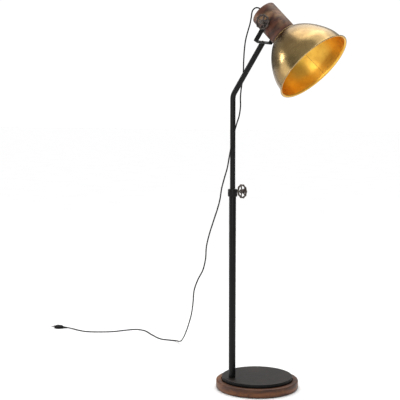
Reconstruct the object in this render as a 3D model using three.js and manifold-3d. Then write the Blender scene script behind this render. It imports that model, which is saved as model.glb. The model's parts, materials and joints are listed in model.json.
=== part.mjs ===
// Pharmacy floor lamp: a round wood and cast-iron base, a telescopic steel mast with a clamp
// collar and handwheel, a flat-bar yoke, and a turned wood cup that carries a spun dome shade.
// Millimetres, +Z up. The origin is the centre of the base's underside, and +X is the
// direction in which the slanted arm leans. Everything is drawn in its rest position.

import * as THREE from 'three';
import { mergeVertices } from 'three/addons/utils/BufferGeometryUtils.js';
import Module from 'manifold-3d';

const wasm = await Module();
wasm.setup();

// ---------------------------------------------------------------- driving dimensions

const GAP = 0.3; // clearance between neighbouring pieces
const RAD = Math.PI / 180;

// Base.
const FELT_R = 146;
const FELT_H = 2;
const WOOD_R = 150;
const WOOD_TOP = 32;
const RECESS_R = 131.6;
const RECESS_Z = 27.3;
const PLATE_R = 130;
const PLATE_TOP = 45;
const PLATE_EDGE = 4; // rounding of the plate's upper edge
const PLATE_SCREWS = 3;
const PLATE_SCREW_R = 2.5;
const PLATE_SCREW_HOLE_R = 2.9;
const MAST_OFFSET = 96.6; // from the base's centre to the mast's axis
const MAST_ANGLE = 229.8 * RAD; // seen from above, counted from +X

// Mast.
const POLE_R = 12.5;
const POLE_BORE_R = 11;
const POLE_BOLT_R = 5;
const POLE_BOLT_HOLE_R = 5.5;
const BUSH_BOTTOM = 688;
const COLLAR_BOTTOM = 705;
const COLLAR_SEAT = 713; // where the lower bore stops against the pole's upper end
const COLLAR_TOP = 732;
const COLLAR_R = 17;
const TUBE_R = 9.5;
const TUBE_BORE_R = 8;
const TUBE_BOTTOM = 515;
const BEND_Z = 1065; // where the axes of the upright and of the slanted arm meet
const BEND_RADIUS = 45;
const ARM_LEAN = 33.6 * RAD; // from the vertical
const YOKE_AT = 216; // along the arm, from the bend to the yoke's outer face
const PIVOT_AT = 293; // along the arm, from the bend to the tilt axis

// Clamping screws, both M8, and their handwheels.
const SCREW_R = 3.7;
const SCREW_HOLE_R = 4.1;
const SCREW_CHAMFER = 0.8;
const COLLAR_SCREW_Z = 721.5;
const COLLAR_SCREW_ANGLE = 70 * RAD;
const COLLAR_WHEEL_AT = 44; // from the mast's axis to the wheel's mid-plane
const TILT_WHEEL_AT = 78; // from the lamp's plane to the wheel's mid-plane
const WHEEL_R = 26.5;
const WHEEL_INNER_R = 20;
const WHEEL_LOBES = 10;
const WHEEL_LOBE = 1.6;
const WHEEL_RIM = 6;
const WHEEL_SPOKES = 5;
const WHEEL_SPOKE_R = 2.4;
const WHEEL_HUB_R = 8;
const WHEEL_HUB_HALF = 6.5;

// Yoke.
const BAR_WIDTH = 16;
const BAR = 4;
const YOKE_SCREW_R = 3;
const YOKE_SCREW_HOLE_R = 3.4;
const YOKE_INNER = 50.5; // half of the clear width between the arms

// Head, measured along the cup's axis from the tilt axis, positive towards the shade.
const HEAD_TILT = 44.4 * RAD; // below the horizontal
const CUP_R = 46.5;
const CUP_BACK = -57;
const CUP_FRONT = 62;
const CUP_CAVITY_R = 30;
const CUP_CAVITY_AT = 18;
const CORD_BORE_R = 6.2;
const SHEET = 1.2; // thickness of the spun shade
const SHADE_R = 142.5; // over the lip
const DOME_R = 135.2;
const DOME_AT = 213; // plane of the dome's widest circle
const NECK_R = 49.5;
const NIPPLE_R = 5;
const NIPPLE_HOLE_R = 5.4;
const HOLDER_R = 19.5;
const HOLDER_BACK = 36.3;
const HOLDER_FRONT = 74;

// Cord.
const CORD_R = 2.5;
const CORD_Z = CORD_R + 0.1; // axis height where the cord lies on the floor
const CORD_SIDES = 8;

const MAST_X = MAST_OFFSET * Math.cos(MAST_ANGLE);
const MAST_Y = MAST_OFFSET * Math.sin(MAST_ANGLE);

// ---------------------------------------------------------------- materials

function finish(color, roughness, metalness) {
  return new THREE.MeshStandardMaterial({ color, roughness, metalness });
}

const FELT = finish(0x1c1b1a, 0.95, 0);
const MANGO = finish(0x6e3f26, 0.5, 0);
const CAST_IRON = finish(0x221e1b, 0.55, 0.6);
const BLACK = finish(0x0d0d0e, 0.45, 0.3);
const PEWTER = finish(0x5d544b, 0.5, 0.8);
const ZINC = finish(0xa9abad, 0.35, 1);
const BRASS = finish(0xa88445, 0.35, 1);
const INSERT_BRASS = finish(0xc09a52, 0.4, 1);
const NYLON = finish(0xd9d6cc, 0.6, 0);
const FIBRE = finish(0x2a211c, 0.8, 0);
const PHENOLIC = finish(0x151515, 0.35, 0);
const RUBBER = finish(0x131313, 0.6, 0);

// ---------------------------------------------------------------- shape helpers

// Shares the corners of a geometry and drops triangles that have collapsed to a line.
function welded(geometry) {
  const bare = geometry.clone();
  bare.deleteAttribute('normal');
  bare.deleteAttribute('uv');
  const merged = mergeVertices(bare, 1e-3);
  const corners = Array.from(merged.index.array);
  const kept = [];
  for (let i = 0; i < corners.length; i += 3) {
    const [a, b, c] = corners.slice(i, i + 3);
    if (a !== b && b !== c && c !== a) kept.push(a, b, c);
  }
  merged.setIndex(kept);
  return merged;
}

// Six times the volume that a closed geometry encloses, negative when it is inside out.
function signedVolume(geometry) {
  const at = geometry.attributes.position;
  const index = geometry.index.array;
  const [a, b, c] = [new THREE.Vector3(), new THREE.Vector3(), new THREE.Vector3()];
  let sum = 0;
  for (let i = 0; i < index.length; i += 3) {
    a.fromBufferAttribute(at, index[i]);
    b.fromBufferAttribute(at, index[i + 1]);
    c.fromBufferAttribute(at, index[i + 2]);
    sum += a.dot(b.cross(c));
  }
  return sum;
}

function outward(geometry) {
  const closed = welded(geometry);
  if (signedVolume(closed) < 0) {
    const index = closed.index.array;
    for (let i = 0; i < index.length; i += 3) {
      [index[i + 1], index[i + 2]] = [index[i + 2], index[i + 1]];
    }
  }
  return closed;
}

function toSolid(geometry) {
  const closed = outward(geometry);
  const vertProperties = new Float32Array(closed.attributes.position.array);
  const triVerts = new Uint32Array(closed.index.array);
  return new wasm.Manifold(new wasm.Mesh({ numProp: 3, vertProperties, triVerts }));
}

function toGeometry(solid) {
  const mesh = solid.getMesh();
  const geometry = new THREE.BufferGeometry();
  geometry.setAttribute('position', new THREE.BufferAttribute(mesh.vertProperties, 3));
  geometry.setIndex(new THREE.BufferAttribute(mesh.triVerts, 1));
  return geometry;
}

function cut(body, ...tools) {
  const rest = tools.reduce((solid, tool) => solid.subtract(toSolid(tool)), toSolid(body));
  return toGeometry(rest);
}

function joined(body, ...more) {
  return toGeometry(more.reduce((solid, next) => solid.add(toSolid(next)), toSolid(body)));
}

function common(a, b) {
  return toGeometry(toSolid(a).intersect(toSolid(b)));
}

// Turns an outline of [radius, height] pairs about Z. An outline that doesn't start and end
// on the axis is closed on itself.
function turned(outline, segments = 20) {
  const onAxis = outline[0][0] === 0 && outline.at(-1)[0] === 0;
  const points = onAxis ? outline : [...outline, outline[0]];
  const profile = points.map(([radius, height]) => new THREE.Vector2(radius, height));
  return outward(new THREE.LatheGeometry(profile, segments).rotateX(Math.PI / 2));
}

function rod(radius, from, to, segments = 20) {
  return turned([[0, from], [radius, from], [radius, to], [0, to]], segments);
}

function ring(inner, outer, from, to, segments = 20) {
  return turned([[inner, from], [outer, from], [outer, to], [inner, to]], segments);
}

// A hexagonal prism of the given width across flats.
function hexagon(acrossFlats, from, to) {
  return rod(acrossFlats / 2 / Math.cos(30 * RAD), from, to, 6);
}

// Points of a quarter circle in an outline, from one angle to another in degrees.
function arc(centre, radius, fromDeg, toDeg, steps = 3) {
  return Array.from({ length: steps + 1 }, (_, i) => {
    const angle = (fromDeg + ((toDeg - fromDeg) * i) / steps) * RAD;
    return [centre[0] + radius * Math.cos(angle), centre[1] + radius * Math.sin(angle)];
  });
}

function at(geometry, x, y, z) {
  return geometry.translate(x, y, z);
}

// Lays a piece that was made along Z along X instead.
function alongX(geometry) {
  return geometry.rotateY(Math.PI / 2);
}

function part(name, geometry, material) {
  const mesh = new THREE.Mesh(geometry, material);
  mesh.name = name;
  return mesh;
}

// A path that a sweep follows with one section at each of its points, square to the given
// direction there, or else to the mean of the two legs that meet there.
class StationPath extends THREE.Curve {
  constructor(points, directions) {
    super();
    this.points = points;
    this.directions = directions;
  }

  getPoint(t) {
    const place = t * (this.points.length - 1);
    const i = Math.min(Math.floor(place + 1e-6), this.points.length - 2);
    return this.points[i].clone().lerp(this.points[i + 1], place - i);
  }

  getPointAt(u) {
    return this.getPoint(u);
  }

  getTangentAt(u) {
    const last = this.points.length - 1;
    const i = Math.round(u * last);
    if (this.directions) return this.directions[i].clone();
    const [here, tangent] = [this.points[i], new THREE.Vector3()];
    if (i > 0) tangent.add(here.clone().sub(this.points[i - 1]).normalize());
    if (i < last) tangent.add(this.points[i + 1].clone().sub(here).normalize());
    return tangent.normalize();
  }
}

function swept(shape, points, curveSegments, directions) {
  const extrudePath = new StationPath(points, directions);
  const steps = points.length - 1;
  return outward(new THREE.ExtrudeGeometry(shape, { steps, extrudePath, curveSegments }));
}

function circleShape(radius, holeRadius = 0) {
  const shape = new THREE.Shape().absarc(0, 0, radius, 0, 2 * Math.PI);
  if (holeRadius) shape.holes.push(new THREE.Path().absarc(0, 0, holeRadius, 0, 2 * Math.PI));
  return shape;
}

// ---------------------------------------------------------------- base

const plateScrewPlaces = Array.from({ length: PLATE_SCREWS }, (_, i) => {
  const angle = MAST_ANGLE + Math.PI / 3 + (2 * Math.PI * i) / PLATE_SCREWS;
  return [MAST_OFFSET * Math.cos(angle), MAST_OFFSET * Math.sin(angle)];
});

const WOOD_BOTTOM = FELT_H + GAP;
const BOLT_POCKET_R = 20;
const BOLT_POCKET_TOP = 12;
const SCREW_POCKET_R = 6;
const SCREW_POCKET_TOP = 8.3;

function woodBase() {
  const disc = turned([
    [0, WOOD_BOTTOM],
    ...arc([WOOD_R - 2.5, WOOD_BOTTOM + 2.5], 2.5, -90, 0, 2),
    ...arc([WOOD_R - 4.5, WOOD_TOP - 4.5], 4.5, 0, 90),
    ...arc([RECESS_R + 1.2, WOOD_TOP - 1.2], 1.2, 90, 180, 1),
    [RECESS_R, RECESS_Z],
    [0, RECESS_Z],
  ], 56);
  const below = FELT_H - 5;
  const holes = [
    at(rod(BOLT_POCKET_R, below, BOLT_POCKET_TOP, 28), MAST_X, MAST_Y, 0),
    at(rod(POLE_BOLT_HOLE_R, below, RECESS_Z + 5), MAST_X, MAST_Y, 0),
  ];
  for (const [x, y] of plateScrewPlaces) {
    holes.push(at(rod(SCREW_POCKET_R, below, SCREW_POCKET_TOP, 16), x, y, 0));
    holes.push(at(rod(PLATE_SCREW_HOLE_R, below, RECESS_Z + 5, 12), x, y, 0));
  }
  return cut(disc, ...holes);
}

const PLATE_BOTTOM = RECESS_Z + GAP;
const SCREW_HOLE_TOP = 41;

function ironPlate() {
  const disc = turned([
    [0, PLATE_BOTTOM],
    ...arc([PLATE_R - 1.5, PLATE_BOTTOM + 1.5], 1.5, -90, 0, 1),
    ...arc([PLATE_R - PLATE_EDGE, PLATE_TOP - PLATE_EDGE], PLATE_EDGE, 0, 90),
    [0, PLATE_TOP],
  ], 56);
  const holes = [at(rod(POLE_R + GAP, 0, PLATE_TOP + 5, 32), MAST_X, MAST_Y, 0)];
  for (const [x, y] of plateScrewPlaces) {
    holes.push(at(rod(PLATE_SCREW_HOLE_R, 0, SCREW_HOLE_TOP, 12), x, y, 0));
  }
  return cut(disc, ...holes);
}

function plateScrew([x, y]) {
  const screw = turned([
    [0, 3.4],
    [4.4, 3.4],
    [5, 4],
    [5, SCREW_POCKET_TOP - GAP],
    [PLATE_SCREW_R, SCREW_POCKET_TOP - GAP],
    [PLATE_SCREW_R, SCREW_HOLE_TOP - 4],
    [0, SCREW_HOLE_TOP - 2],
  ], 12);
  return at(screw, x, y, 0);
}

const FOOT_PLUG_TOP = 54;
const WASHER_BOTTOM = 9.4;

const base = new THREE.Group();
base.add(
  part('felt_pad', rod(FELT_R, 0, FELT_H, 56), FELT),
  part('wood_base', woodBase(), MANGO),
  part('iron_plate', ironPlate(), CAST_IRON),
);
plateScrewPlaces.forEach((place, i) => {
  base.add(part(`plate_screw_${i + 1}`, plateScrew(place), ZINC));
});

const poleStack = new THREE.Group();
poleStack.position.set(MAST_X, MAST_Y, 0);
const boltSeatZ = WASHER_BOTTOM - GAP;
const boltHead = hexagon(17, boltSeatZ - 6.4, boltSeatZ);
const boltShank = rod(POLE_BOLT_R, boltSeatZ - 1, FOOT_PLUG_TOP - 5);
poleStack.add(
  part('pole_bolt', joined(boltHead, boltShank), ZINC),
  part('pole_washer', ring(POLE_BOLT_HOLE_R, 18.5, WASHER_BOTTOM, BOLT_POCKET_TOP - GAP), ZINC),
  part('pole_foot_plug', ring(POLE_BOLT_HOLE_R, POLE_BORE_R - GAP, PLATE_BOTTOM, FOOT_PLUG_TOP), ZINC),
  part('lower_pole', ring(POLE_BORE_R, POLE_R, PLATE_BOTTOM, COLLAR_SEAT - GAP, 32), BLACK),
);
base.add(poleStack);

// ---------------------------------------------------------------- clamp collar

const SET_SCREW_Z = 709;
const SET_SCREW_R = 2.5;
const SET_SCREW_SOCKET_R = 1.3;

// A piece made along Z, laid along the collar screw's direction at the given height.
function acrossMast(geometry, z, turn = 0) {
  return at(alongX(geometry).rotateZ(COLLAR_SCREW_ANGLE + turn), 0, 0, z);
}

function clampCollar() {
  const sleeve = turned([
    [POLE_R + GAP, COLLAR_BOTTOM],
    [COLLAR_R - 1.2, COLLAR_BOTTOM],
    [COLLAR_R, COLLAR_BOTTOM + 1.2],
    [COLLAR_R, COLLAR_TOP - 1.8],
    [COLLAR_R - 1.8, COLLAR_TOP],
    [TUBE_R + GAP, COLLAR_TOP],
    [TUBE_R + GAP, COLLAR_SEAT],
    [POLE_R + GAP, COLLAR_SEAT],
  ], 28);
  return cut(
    sleeve,
    acrossMast(rod(SCREW_HOLE_R, 5, COLLAR_R + 5), COLLAR_SCREW_Z),
    acrossMast(rod(SET_SCREW_R + 0.4, 8, COLLAR_R + 5, 16), SET_SCREW_Z, Math.PI),
  );
}

const setScrew = turned([
  [0, POLE_R + 2 * GAP],
  [SET_SCREW_R, POLE_R + 2 * GAP],
  [SET_SCREW_R, COLLAR_R - 0.4],
  [SET_SCREW_SOCKET_R, COLLAR_R - 0.4],
  [SET_SCREW_SOCKET_R, COLLAR_R - 2.4],
  [0, COLLAR_R - 2.4],
], 12);

poleStack.add(
  part('guide_bush', ring(TUBE_R + GAP, POLE_BORE_R - GAP, BUSH_BOTTOM, COLLAR_SEAT - GAP, 28), NYLON),
  part('clamp_collar', clampCollar(), BLACK),
  part('collar_set_screw', acrossMast(setScrew, SET_SCREW_Z, Math.PI), BLACK),
);

// ---------------------------------------------------------------- handwheels

// A cast wheel with a lobed rim, made about Z with its mid-plane at Z = 0.
function handwheel() {
  const outline = Array.from({ length: WHEEL_LOBES * 6 }, (_, i) => {
    const angle = (2 * Math.PI * i) / (WHEEL_LOBES * 6);
    const radius = WHEEL_R - WHEEL_LOBE * (0.5 - 0.5 * Math.cos(WHEEL_LOBES * angle));
    return new THREE.Vector2(radius * Math.cos(angle), radius * Math.sin(angle));
  });
  const shape = new THREE.Shape(outline);
  shape.holes.push(new THREE.Path().absarc(0, 0, WHEEL_INNER_R, 0, 2 * Math.PI));
  const options = { depth: WHEEL_RIM, bevelEnabled: false, curveSegments: 20 };
  const rim = at(new THREE.ExtrudeGeometry(shape, options), 0, 0, -WHEEL_RIM / 2);
  const hub = rod(WHEEL_HUB_R, -WHEEL_HUB_HALF, WHEEL_HUB_HALF, 20);
  const spokes = Array.from({ length: WHEEL_SPOKES }, (_, i) => {
    const spoke = alongX(rod(WHEEL_SPOKE_R, SCREW_HOLE_R + 1, WHEEL_INNER_R + 1.5, 8));
    return spoke.rotateZ((2 * Math.PI * i) / WHEEL_SPOKES);
  });
  return cut(joined(rim, hub, ...spokes), rod(SCREW_HOLE_R, -20, 20));
}

const NUT_H = 5.4;
const NUT_ACROSS = 13;

// The wheel, its end nut and the screw through both, along Z, with the wheel's mid-plane at
// the given height and the screw's tip at another.
function wheelSet(prefix, wheelAt, tipAt) {
  const nutFrom = wheelAt + WHEEL_HUB_HALF + GAP;
  const nut = cut(hexagon(NUT_ACROSS, nutFrom, nutFrom + NUT_H), rod(SCREW_HOLE_R, 0, nutFrom + 20));
  const end = nutFrom + NUT_H + 1.6;
  const screw = turned([
    [0, tipAt],
    [SCREW_R - SCREW_CHAMFER, tipAt],
    [SCREW_R, tipAt + SCREW_CHAMFER],
    [SCREW_R, end - SCREW_CHAMFER],
    [SCREW_R - SCREW_CHAMFER, end],
    [0, end],
  ]);
  return [
    part(`${prefix}_screw`, screw, ZINC),
    part(`${prefix}_wheel`, at(handwheel(), 0, 0, wheelAt), PEWTER),
    part(`${prefix}_wheel_nut`, nut, PEWTER),
  ];
}

const PAD_FROM = TUBE_R + GAP;
const PAD_TO = PAD_FROM + 2.8;

const collarClamp = new THREE.Group();
collarClamp.position.set(0, 0, COLLAR_SCREW_Z);
collarClamp.rotation.set(0, Math.PI / 2, COLLAR_SCREW_ANGLE, 'ZYX');
collarClamp.add(
  part('clamp_pad', rod(SCREW_R, PAD_FROM, PAD_TO, 16), INSERT_BRASS),
  ...wheelSet('collar', COLLAR_WHEEL_AT, PAD_TO + GAP),
);
poleStack.add(collarClamp);

// ---------------------------------------------------------------- sliding mast

const mast = new THREE.Group();
mast.position.set(MAST_X, MAST_Y, 0);

// Centreline of the upper tube: upright, bend, slanted arm.
function upperTubePath() {
  const tangentLength = BEND_RADIUS * Math.tan(ARM_LEAN / 2);
  const centre = new THREE.Vector2(BEND_RADIUS, BEND_Z - tangentLength);
  const points = [new THREE.Vector3(0, 0, TUBE_BOTTOM + GAP)];
  const bendSteps = 5;
  for (let i = 0; i <= bendSteps; i += 1) {
    const angle = (ARM_LEAN * i) / bendSteps;
    const x = centre.x - BEND_RADIUS * Math.cos(angle);
    points.push(new THREE.Vector3(x, 0, centre.y + BEND_RADIUS * Math.sin(angle)));
  }
  const reach = YOKE_AT - GAP;
  const [side, up] = [Math.sin(ARM_LEAN), Math.cos(ARM_LEAN)];
  points.push(new THREE.Vector3(reach * side, 0, BEND_Z + reach * up));
  return points;
}

const glidePlug = turned([
  [0, TUBE_BOTTOM - 15],
  [POLE_BORE_R - GAP - 1, TUBE_BOTTOM - 15],
  [POLE_BORE_R - GAP, TUBE_BOTTOM - 14],
  [POLE_BORE_R - GAP, TUBE_BOTTOM],
  [TUBE_BORE_R - GAP, TUBE_BOTTOM],
  [TUBE_BORE_R - GAP, TUBE_BOTTOM + 24],
  [TUBE_BORE_R - GAP - 1, TUBE_BOTTOM + 25],
  [0, TUBE_BOTTOM + 25],
]);
mast.add(
  part('glide_plug', glidePlug, NYLON),
  part('upper_tube', swept(circleShape(TUBE_R, TUBE_BORE_R), upperTubePath(), 11), BLACK),
);

// The arm's own frame: +Z runs up the slanted tube from the bend.
const arm = new THREE.Group();
arm.position.set(0, 0, BEND_Z);
arm.rotation.y = ARM_LEAN;
mast.add(arm);

// A U of flat bar: its web rests on the tube's end, and its two arms carry the head.
function yoke() {
  const outer = YOKE_INNER + BAR;
  const top = PIVOT_AT + BAR_WIDTH;
  const web = YOKE_AT + BAR;
  const [outerCorner, innerCorner] = [6, 2];
  const outline = [
    [outer, top],
    ...arc([outer - outerCorner, YOKE_AT + outerCorner], outerCorner, 0, -90),
    ...arc([outerCorner - outer, YOKE_AT + outerCorner], outerCorner, -90, -180),
    [-outer, top],
    [-YOKE_INNER, top],
    ...arc([innerCorner - YOKE_INNER, web + innerCorner], innerCorner, 180, 270, 2),
    ...arc([YOKE_INNER - innerCorner, web + innerCorner], innerCorner, -90, 0, 2),
    [YOKE_INNER, top],
  ];
  const front = new THREE.Shape(outline.map(([y, z]) => new THREE.Vector2(y, z)));
  const wide = { depth: BAR_WIDTH, bevelEnabled: false };
  const bent = at(new THREE.ExtrudeGeometry(front, wide), 0, 0, -BAR_WIDTH / 2);
  bent.rotateX(Math.PI / 2).rotateZ(Math.PI / 2);
  const side = new THREE.Shape();
  side.moveTo(-BAR_WIDTH / 2, YOKE_AT - 5);
  side.lineTo(BAR_WIDTH / 2, YOKE_AT - 5);
  side.absarc(0, PIVOT_AT, BAR_WIDTH / 2, 0, Math.PI);
  const across = { depth: 3 * outer, bevelEnabled: false, curveSegments: 8 };
  const trim = at(new THREE.ExtrudeGeometry(side, across), 0, 0, -1.5 * outer);
  const pivotHole = rod(SCREW_HOLE_R + 0.1, -2 * outer, 2 * outer).rotateX(Math.PI / 2);
  const screwHole = rod(YOKE_SCREW_HOLE_R, YOKE_AT - 5, web + 5, 16);
  const bar = common(bent, trim.rotateX(Math.PI / 2));
  return cut(bar, at(pivotHole, 0, 0, PIVOT_AT), screwHole);
}

const webTop = YOKE_AT + BAR;
const yokeScrew = turned([
  [0, YOKE_AT - 18],
  [YOKE_SCREW_R, YOKE_AT - 18],
  [YOKE_SCREW_R, webTop + GAP],
  [5.5, webTop + GAP],
  [5.5, webTop + 1.8],
  [4, webTop + 3],
  [1.8, webTop + 3],
  [1.8, webTop + 1.2],
  [0, webTop + 1.2],
], 16);

arm.add(
  part('tube_end_insert', ring(YOKE_SCREW_HOLE_R, TUBE_BORE_R - GAP, YOKE_AT - 22, YOKE_AT - GAP), ZINC),
  part('yoke', yoke(), BLACK),
  part('yoke_screw', yokeScrew, ZINC),
);

// ---------------------------------------------------------------- head

// The head's own frame: the origin is on the tilt axis, +X runs along the cup towards the
// shade, and +Y is the tilt axis.
const head = new THREE.Group();
head.position.set(PIVOT_AT * Math.sin(ARM_LEAN), 0, BEND_Z + PIVOT_AT * Math.cos(ARM_LEAN));
head.rotation.y = HEAD_TILT;
mast.add(head);

const INSERT_FROM = 28.3;
const HOLDER_SCREW_AT = 15; // from the cup's axis
const HOLDER_SCREW_R = 1.8;
const HOLDER_SCREW_SIDES = [-1, 1];

function woodCup() {
  const blank = turned([
    [0, CUP_BACK],
    ...arc([CUP_R - 3, CUP_BACK + 3], 3, -90, 0),
    [CUP_R, CUP_FRONT - 0.8],
    [CUP_R - 0.8, CUP_FRONT],
    [CUP_CAVITY_R, CUP_FRONT],
    [CUP_CAVITY_R, CUP_CAVITY_AT],
    [0, CUP_CAVITY_AT],
  ], 44);
  const holes = [rod(CORD_BORE_R, CUP_BACK - 5, CUP_CAVITY_AT + 5, 16)];
  for (const side of [-1, 1]) {
    const drilling = rod(6.3, INSERT_FROM - GAP, CUP_R + 10, 18);
    holes.push(drilling.rotateX((side * Math.PI) / 2));
  }
  for (const side of HOLDER_SCREW_SIDES) {
    holes.push(at(rod(HOLDER_SCREW_R + GAP, 5, CUP_CAVITY_AT + 5, 10), side * HOLDER_SCREW_AT, 0, 0));
  }
  return alongX(cut(blank, ...holes));
}

// Points of the shade's outer face, from the neck over the dome to the flared lip.
function shadeOutline() {
  const dome = new THREE.SplineCurve([
    [55, 66.5], [69.5, 78], [93.5, 104.5], [115.3, 140], [129.8, 176], [DOME_R, DOME_AT],
  ].map(([radius, along]) => new THREE.Vector2(radius, along)));
  return [
    [HOLDER_R + 0.6, CUP_FRONT + GAP],
    [NECK_R, CUP_FRONT + GAP],
    [NECK_R + 1.8, CUP_FRONT + 1],
    [NECK_R + 2.3, CUP_FRONT + 2.4],
    ...dome.getSpacedPoints(9).map(({ x, y }) => [x, y]),
    [DOME_R + 1.4, DOME_AT + 2.2],
    [DOME_R + 3.8, DOME_AT + 3.8],
    [SHADE_R, DOME_AT + 4.4],
  ];
}

// The same line moved inwards by the sheet's thickness.
function inset(outline, thickness) {
  return outline.map(([radius, along], i) => {
    const [r0, a0] = outline[Math.max(i - 1, 0)];
    const [r1, a1] = outline[Math.min(i + 1, outline.length - 1)];
    const length = Math.hypot(r1 - r0, a1 - a0);
    return [
      radius - (thickness * (a1 - a0)) / length,
      along + (thickness * (r1 - r0)) / length,
    ];
  });
}

function shade() {
  const outside = shadeOutline();
  const inside = inset(outside, SHEET);
  inside[0][0] = outside[0][0];
  return alongX(turned([...outside, ...inside.reverse()], 44));
}

const holderPlateAt = CUP_CAVITY_AT + GAP;
const plateFront = holderPlateAt + 2;

function holderPlate() {
  const holes = HOLDER_SCREW_SIDES.map((side) => {
    return at(rod(HOLDER_SCREW_R + 0.5, 0, 30, 10), side * HOLDER_SCREW_AT, 0, 0);
  });
  return alongX(cut(ring(NIPPLE_HOLE_R, 22, holderPlateAt, plateFront), ...holes));
}

function holderScrew(side) {
  const seat = plateFront + GAP;
  const screw = turned([
    [0, 7],
    [HOLDER_SCREW_R, 9],
    [HOLDER_SCREW_R, seat],
    [2 * HOLDER_SCREW_R, seat],
    [2 * HOLDER_SCREW_R, seat + 1],
    [HOLDER_SCREW_R + 0.8, seat + 2],
    [0, seat + 2],
  ], 10);
  return alongX(at(screw, side * HOLDER_SCREW_AT, 0, 0));
}

const CAP_BACK = 25.4;
const CAP_SHOULDER = 31;
const CAP_WALL = 2;
const capTo = HOLDER_BACK - GAP;
const lampholderCap = turned([
  [NIPPLE_HOLE_R, CAP_BACK],
  [12, CAP_BACK],
  [HOLDER_R, CAP_SHOULDER],
  [HOLDER_R, capTo],
  [HOLDER_R - CAP_WALL, capTo],
  [HOLDER_R - CAP_WALL, CAP_SHOULDER + 1.1],
  [11.2, CAP_BACK + 2.5],
  [NIPPLE_HOLE_R, CAP_BACK + 2.5],
]);
const SHELL_INNER_R = 13.6;
const SHELL_R = 14.5;
const SOCKET_R = 14.9;
const holderFloor = HOLDER_BACK + 9.7;
const holderWall = HOLDER_R - 2.4;
const lampholderBody = turned([
  [0, holderFloor - 6],
  [holderWall, holderFloor - 6],
  [holderWall, HOLDER_BACK],
  [HOLDER_R, HOLDER_BACK],
  [HOLDER_R, HOLDER_FRONT],
  [SOCKET_R, HOLDER_FRONT],
  [SOCKET_R, holderFloor],
  [0, holderFloor],
]);
const lampholderShell = ring(SHELL_INNER_R, SHELL_R, HOLDER_FRONT - 26, HOLDER_FRONT - 3);
const lampholderContact = rod(4, holderFloor + 0.4, holderFloor + 1.7, 12);
const nippleNut = cut(hexagon(14, plateFront + GAP, plateFront + 4.3), rod(NIPPLE_HOLE_R, 0, 40));
const RING_R = 27.5;
const ringBack = CUP_FRONT + GAP + SHEET + GAP;
const shadeRing = turned([
  [HOLDER_R + 0.5, ringBack],
  [RING_R, ringBack],
  [RING_R, ringBack + 3],
  [RING_R - 4.5, ringBack + 6.2],
  [HOLDER_R + 0.5, ringBack + 6.2],
], 24);
const GLAND_ROOT = CUP_BACK + 11;
const GLAND_TIP = CUP_BACK - 12;
const GLAND_R = 10;
const cordGland = turned([
  [0, GLAND_ROOT],
  [CORD_BORE_R - GAP, GLAND_ROOT],
  [CORD_BORE_R - GAP, CUP_BACK - GAP],
  [GLAND_R, CUP_BACK - GAP],
  [GLAND_R, CUP_BACK - 2.2],
  [GLAND_R - 4, CUP_BACK - 3.4],
  [CORD_R + 1, GLAND_TIP],
  [0, GLAND_TIP],
]);

head.add(
  part('wood_cup', woodCup(), MANGO),
  part('shade', shade(), BRASS),
  part('holder_plate', holderPlate(), ZINC),
  part('holder_nipple', alongX(ring(CORD_R + 0.8, NIPPLE_R, 12, 33, 16)), ZINC),
  part('nipple_nut', alongX(nippleNut), ZINC),
  part('lampholder_cap', alongX(lampholderCap), PHENOLIC),
  part('lampholder_body', alongX(lampholderBody), PHENOLIC),
  part('lampholder_shell', alongX(lampholderShell), INSERT_BRASS),
  part('lampholder_contact', alongX(lampholderContact), INSERT_BRASS),
  part('shade_ring', alongX(shadeRing), PHENOLIC),
  part('inner_cord', alongX(rod(CORD_R, GLAND_ROOT + GAP, HOLDER_BACK, 10)), RUBBER),
  part('cord_gland', alongX(cordGland), RUBBER),
);
HOLDER_SCREW_SIDES.forEach((side, i) => {
  head.add(part(`holder_screw_${i + 1}`, holderScrew(side), ZINC));
});

// ---------------------------------------------------------------- tilt pivot

const PIVOT_HOLE_R = 4.3;
const PIVOT_SCREW_TIP = 31; // from the lamp's plane
const PIVOT_WASHER_FROM = YOKE_INNER + BAR + GAP;
const PIVOT_WASHER_TO = PIVOT_WASHER_FROM + 1.7;

// Pieces on one side of the head, made along Z and laid along the tilt axis, outwards.
function pivotSide(side) {
  const stack = new THREE.Group();
  stack.rotation.x = (-side * Math.PI) / 2;
  const label = side < 0 ? 'near' : 'far';
  stack.add(
    part(`${label}_insert`, ring(SCREW_HOLE_R, 6, INSERT_FROM, CUP_R - 0.8, 18), INSERT_BRASS),
    part(`${label}_friction_washer`, ring(PIVOT_HOLE_R, 11, CUP_R + GAP, YOKE_INNER - GAP), FIBRE),
    part(`${label}_pivot_washer`, ring(PIVOT_HOLE_R, 9.5, PIVOT_WASHER_FROM, PIVOT_WASHER_TO), ZINC),
  );
  head.add(stack);
  return stack;
}

const nearSide = pivotSide(-1);
const nutSeat = PIVOT_WASHER_TO + GAP;
const lockNut = cut(hexagon(NUT_ACROSS, nutSeat, nutSeat + 5), rod(SCREW_HOLE_R, 0, 90));
nearSide.add(
  part('tilt_lock_nut', lockNut, ZINC),
  ...wheelSet('tilt', TILT_WHEEL_AT, PIVOT_SCREW_TIP),
);

const farHead = hexagon(NUT_ACROSS, nutSeat, nutSeat + 5.2);
const farBolt = joined(farHead, rod(SCREW_R, PIVOT_SCREW_TIP, nutSeat + 1));
pivotSide(1).add(part('far_pivot_bolt', farBolt, BLACK));

// ---------------------------------------------------------------- cord and plug

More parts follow.
